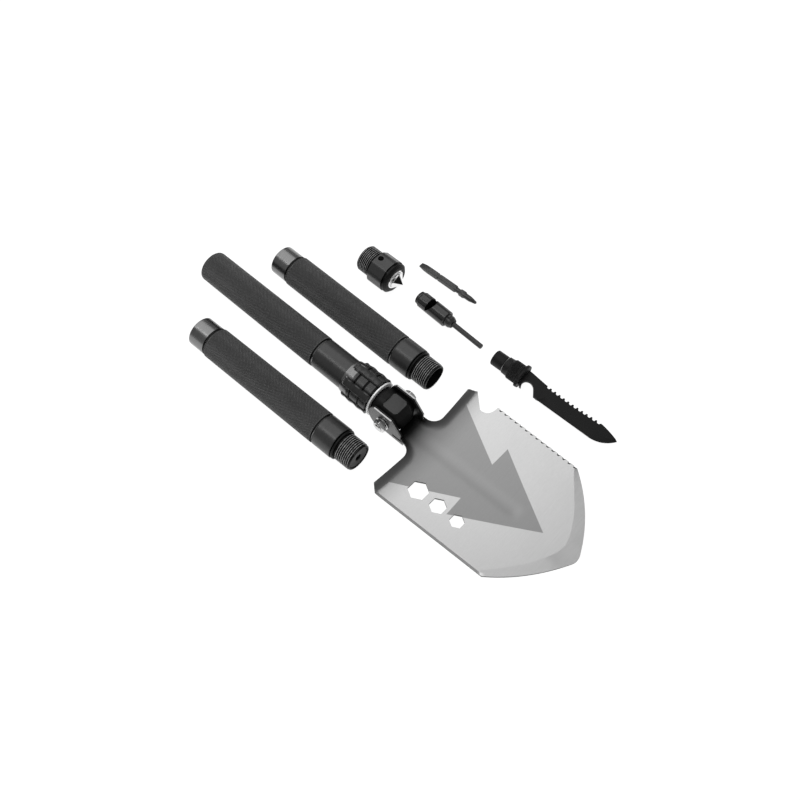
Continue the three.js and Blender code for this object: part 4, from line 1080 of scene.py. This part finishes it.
holder = turned(
    plain([(29, 0), (29, 4.8), (29.4, 5.2), (30, 6.1), (40.4, 6.1), (40.7, 5.7), (41.3, 5.7), (41.6, 6.1)])
    + plain([(43.5, 6.1), (44.1, 5.8), (46.5, 4.7), (46.7, 4.4)])
    + plain([(46.7, 2.9), (35, 2.9), (35, 0)], 1),
    FINE,
)
lug = prism(arc((41.6, 6.4), 2.3, -10, 190, 24) + [(39.3, 4), (43.9, 4)], -1.6, 1.6)
lug_thing = carve(object_of("lug", lug), [bar("y", 1.0, -5, 5, (41.6, 6.6))])
holder_thing = object_of("rod_collar", holder)
lug_shape = bmesh.new()
lug_shape.from_mesh(holder_thing.data)
lug_shape.from_mesh(lug_thing.data)
lug_shape.to_mesh(holder_thing.data)
lug_shape.free()
bpy.data.objects.remove(lug_thing)
put(holder_thing, "whistle", "fire_rod", ["rod_holder"], [SATIN, RECESS_SHADE])


def rod_radius(x):
    """The rod's surface is a little uneven along its length."""
    return 2.6 - 0.05 * (0.5 + 0.5 * math.sin(1.7 * x) * math.sin(0.61 * x))


ferro = turned(
    plain([(35.3, 0), (35.3, 2.6)])
    + plain([(x, rod_radius(x)) for x in np.arange(36, 83.4, 0.8)])
    + plain([(83.6, 2.6), (84.2, 2.1), (84.2, 0)]),
    FINE,
)
put(object_of("fire_steel", ferro), "whistle", "fire_rod", ["ferro_rod"], [FERRO])

# ---------------------------------------------------------------- knife

base = turned(
    plain([(0, 0), (0, 7), (0.3, 7.5), (0.9, 7.9), (12.3, 7.9), (12.7, 7.5)])
    + plain([(12.7, 4.6), (17, 4.6), (17, 0)]),
    FINE,
)
put(object_of("knife_stub", base), "knife", "knife", ["knife_base"], [COATED])

ferrule = turned(
    plain([(13, 4.9), (13, 8.0)])
    + bead(13.1, 13.9, 8.1, 8.7, 1)
    + plain([(14, 8.6), (18.6, 8.95), (19.2, 9.2), (20.3, 9.9)])
    + knurl(20.5, 29.6, 10.25, 0.5, FINE)
    + plain([(29.9, 9.8), (30.3, 10.3), (31, 10.3)])
    + plain([(31, 0), (17.3, 0), (17.3, 4.9)]),
    FINE,
    closed=True,
)
ferrule = carve(object_of("knife_grip_ring", ferrule), [box(20, 36, -4.3, 4.3, -1.7, 1.7)])
put(ferrule, "knife", "knife", ["knife_ferrule"], [KNIFE_GRIP, GLOSS])


def guard_line():
    """An oval plate with scallops and two small hooks on the cutting side."""
    line = []
    for a in np.radians(np.arange(0, 360, 3)):
        y, z = 13 * math.sin(a), 10.4 * math.cos(a)
        dent = 0.0
        for notch, width, depth in ((-64, 9, 1.7), (-116, 9, 1.7), (64, 6, 0.5), (116, 6, 0.5)):
            away = (math.degrees(a) - notch + 180) % 360 - 180
            dent += depth * math.exp(-((away / width) ** 2))
        scale = 1 - dent / 13
        line.append((y * scale, z * scale))
    return line


outline = guard_line()
count = len(outline)
steps = [(i, (i + 1) % count) for i in range(count)]
guard = Build()
layers = [(31.3, 0.96), (31.7, 1.0), (33.9, 1.0), (34.3, 0.96)]
guard.add(
    [(x, y * s, z * s) for x, s in layers for y, z in outline],
    [tuple(range(count)), tuple(reversed(range(3 * count, 4 * count)))]
    + [(a + i, a + count + i, a + count + j, a + j) for a in (0, count, 2 * count) for i, j in steps],
)
guard = carve(object_of("knife_oval_guard", guard), [box(26, 40, -4.3, 4.3, -1.7, 1.7)])
put(guard, "knife", "knife", ["knife_guard"], [COATED])

TOOTH = ((0.86, 1.9), (0.5, 2.6), (0.34, 1.2))  # share of the pitch, depth
KNIFE_TEETH = 12
TEETH_START, TEETH_END = 56, 117
teeth = []
pitch = (TEETH_END - TEETH_START) / KNIFE_TEETH
for i in reversed(range(KNIFE_TEETH)):
    x = TEETH_START + i * pitch
    crest = 6.4 - 0.9 * (1 - abs(2 * i / 11 - 1))
    back, low, front = ((x + share * pitch, crest - drop) for share, drop in TOOTH)
    teeth += [back, *quadratic(back, low, front, 4)]
    teeth += [(x + 0.28 * pitch, crest), (x, crest)]
shoulder = 34.6
belly = [(53.6, -11.2), (60, -11.8), (118, -12.2)]
belly += quadratic((118, -12.2), (131, -11), (KNIFE_TIP, 0.8), 16)
KNIFE_OUTLINE = (
    [(20.5, -4), (shoulder, -4), (shoulder, -9), (36.4, -9.4), (37.2, -11.2), (39.4, -11.4)]
    + quadratic((39.4, -11.4), (35.8, -6), (38.6, -2.6), 8)
    + quadratic((38.6, -2.6), (43, 1), (48, -3.4), 8)
    + quadratic((48, -3.4), (50.4, -6.4), (53.6, -11.2), 6)
    + along(belly, 2.5)[1:]
    + quadratic((KNIFE_TIP, 0.8), (127, 5.2), (117.6, 6.3), 10)
    + teeth
    + [(shoulder, 9), (shoulder, 4), (20.5, 4)]
)
# A flat strip on the blade face in the near-black finish: painted shade standing for a groove line.
SCORE_SHADE_LINE = along(
    [(56.5, -0.6), (57.7, -5.6), (57.7, -11.2), (58.2, -11.2), (58.2, -5.4), (57.0, -0.5), (56.5, -0.6)],
    1,
)
GRIND = along([(59.5, -11.0), (63.5, -4.2), (118, -4.6), (129, -2.8), (136.5, 0.0)], 2.5)


def knife_face(side):
    def height(points):
        to_edge = line_distance(points, belly)
        to_line = line_distance(points, GRIND)
        below = inside(points, [*GRIND, (KNIFE_TIP + 3, 0.5), (125, -16), (59.5, -16)])
        share = np.where(below | (to_edge < 0.02), to_line / np.maximum(to_line + to_edge, 1e-6), 0)
        share = np.where((points[:, 0] < 59.6) & ~below, 0, share)
        return side * (1.4 - 1.25 * share)

    return height


knife = sheet(
    KNIFE_OUTLINE,
    [],
    [GRIND, SCORE_SHADE_LINE],
    2.0,
    knife_face(1),
    knife_face(-1),
    lambda c: np.where(inside(c, SCORE_SHADE_LINE), 1, 0),
    Build(),
    flat_space,
)
knife = object_of("knife_saw_blade", knife, 30)
crease(knife, [GRIND])
put(knife, "knife", "knife", ["knife_blade"], [COATED, RECESS_SHADE])

# ---------------------------------------------------------------- floor, light and camera


def stage_material(name, color, glow):
    material = bpy.data.materials.new(name)
    material.use_nodes = True
    shader = material.node_tree.nodes["Principled BSDF"]
    shader.inputs["Base Color"].default_value = (color, color, color, 1)
    shader.inputs["Roughness"].default_value = 1.0
    shader.inputs["Specular IOR Level"].default_value = 0.0
    shader.inputs["Emission Color"].default_value = (1, 1, 1, 1)
    shader.inputs["Emission Strength"].default_value = glow
    return material


floor_mesh = bpy.data.meshes.new("floor")
FLOOR_HALF, FLOOR_TOP = 4, -0.0005
corners = [(-1, -1), (1, -1), (1, 1), (-1, 1)]
corners = [(x * FLOOR_HALF, y * FLOOR_HALF, FLOOR_TOP) for x, y in corners]
floor_mesh.from_pydata(corners, [], [(0, 1, 2, 3)])
floor_mesh.materials.append(stage_material("floor", 0.2, 0.95))
floor = bpy.data.objects.new("floor", floor_mesh)
bpy.context.scene.collection.objects.link(floor)

world = bpy.data.worlds.new("studio")
world.use_nodes = True
world.node_tree.nodes["Background"].inputs["Color"].default_value = (1, 1, 1, 1)
world.node_tree.nodes["Background"].inputs["Strength"].default_value = 0.3
bpy.context.scene.world = world
bpy.context.scene.view_settings.view_transform = "Standard"


def softbox(name, place, target, width, height, power):
    light = bpy.data.lights.new(name, "AREA")
    light.shape = "RECTANGLE"
    light.size, light.size_y, light.energy = width, height, power
    thing = bpy.data.objects.new(name, light)
    bpy.context.scene.collection.objects.link(thing)
    thing.location = place
    thing.rotation_euler = (Vector(target) - Vector(place)).to_track_quat("-Z", "Y").to_euler()
    return thing


softbox("overhead", (-0.8, 0.55, 1.4), (-0.8, 0.55, 0), 1.6, 2.2, 14.0)
softbox("strip", (-0.1, -0.4, 0.95), (-0.1, -0.4, 0), 1.3, 0.14, 2.4)

CAMERA_PLACE = (0.27667, -0.31513, 0.69840)
CAMERA_DOWN = 60.288
CAMERA_TURN = 42.304
CAMERA_LENS = 38.505
camera_data = bpy.data.cameras.new("camera")
camera_data.sensor_width = 36
camera_data.lens = CAMERA_LENS
camera = bpy.data.objects.new("camera", camera_data)
camera.location = CAMERA_PLACE
camera.rotation_euler = (math.radians(90 - CAMERA_DOWN), 0, math.radians(CAMERA_TURN))
bpy.context.scene.collection.objects.link(camera)
bpy.context.scene.camera = camera
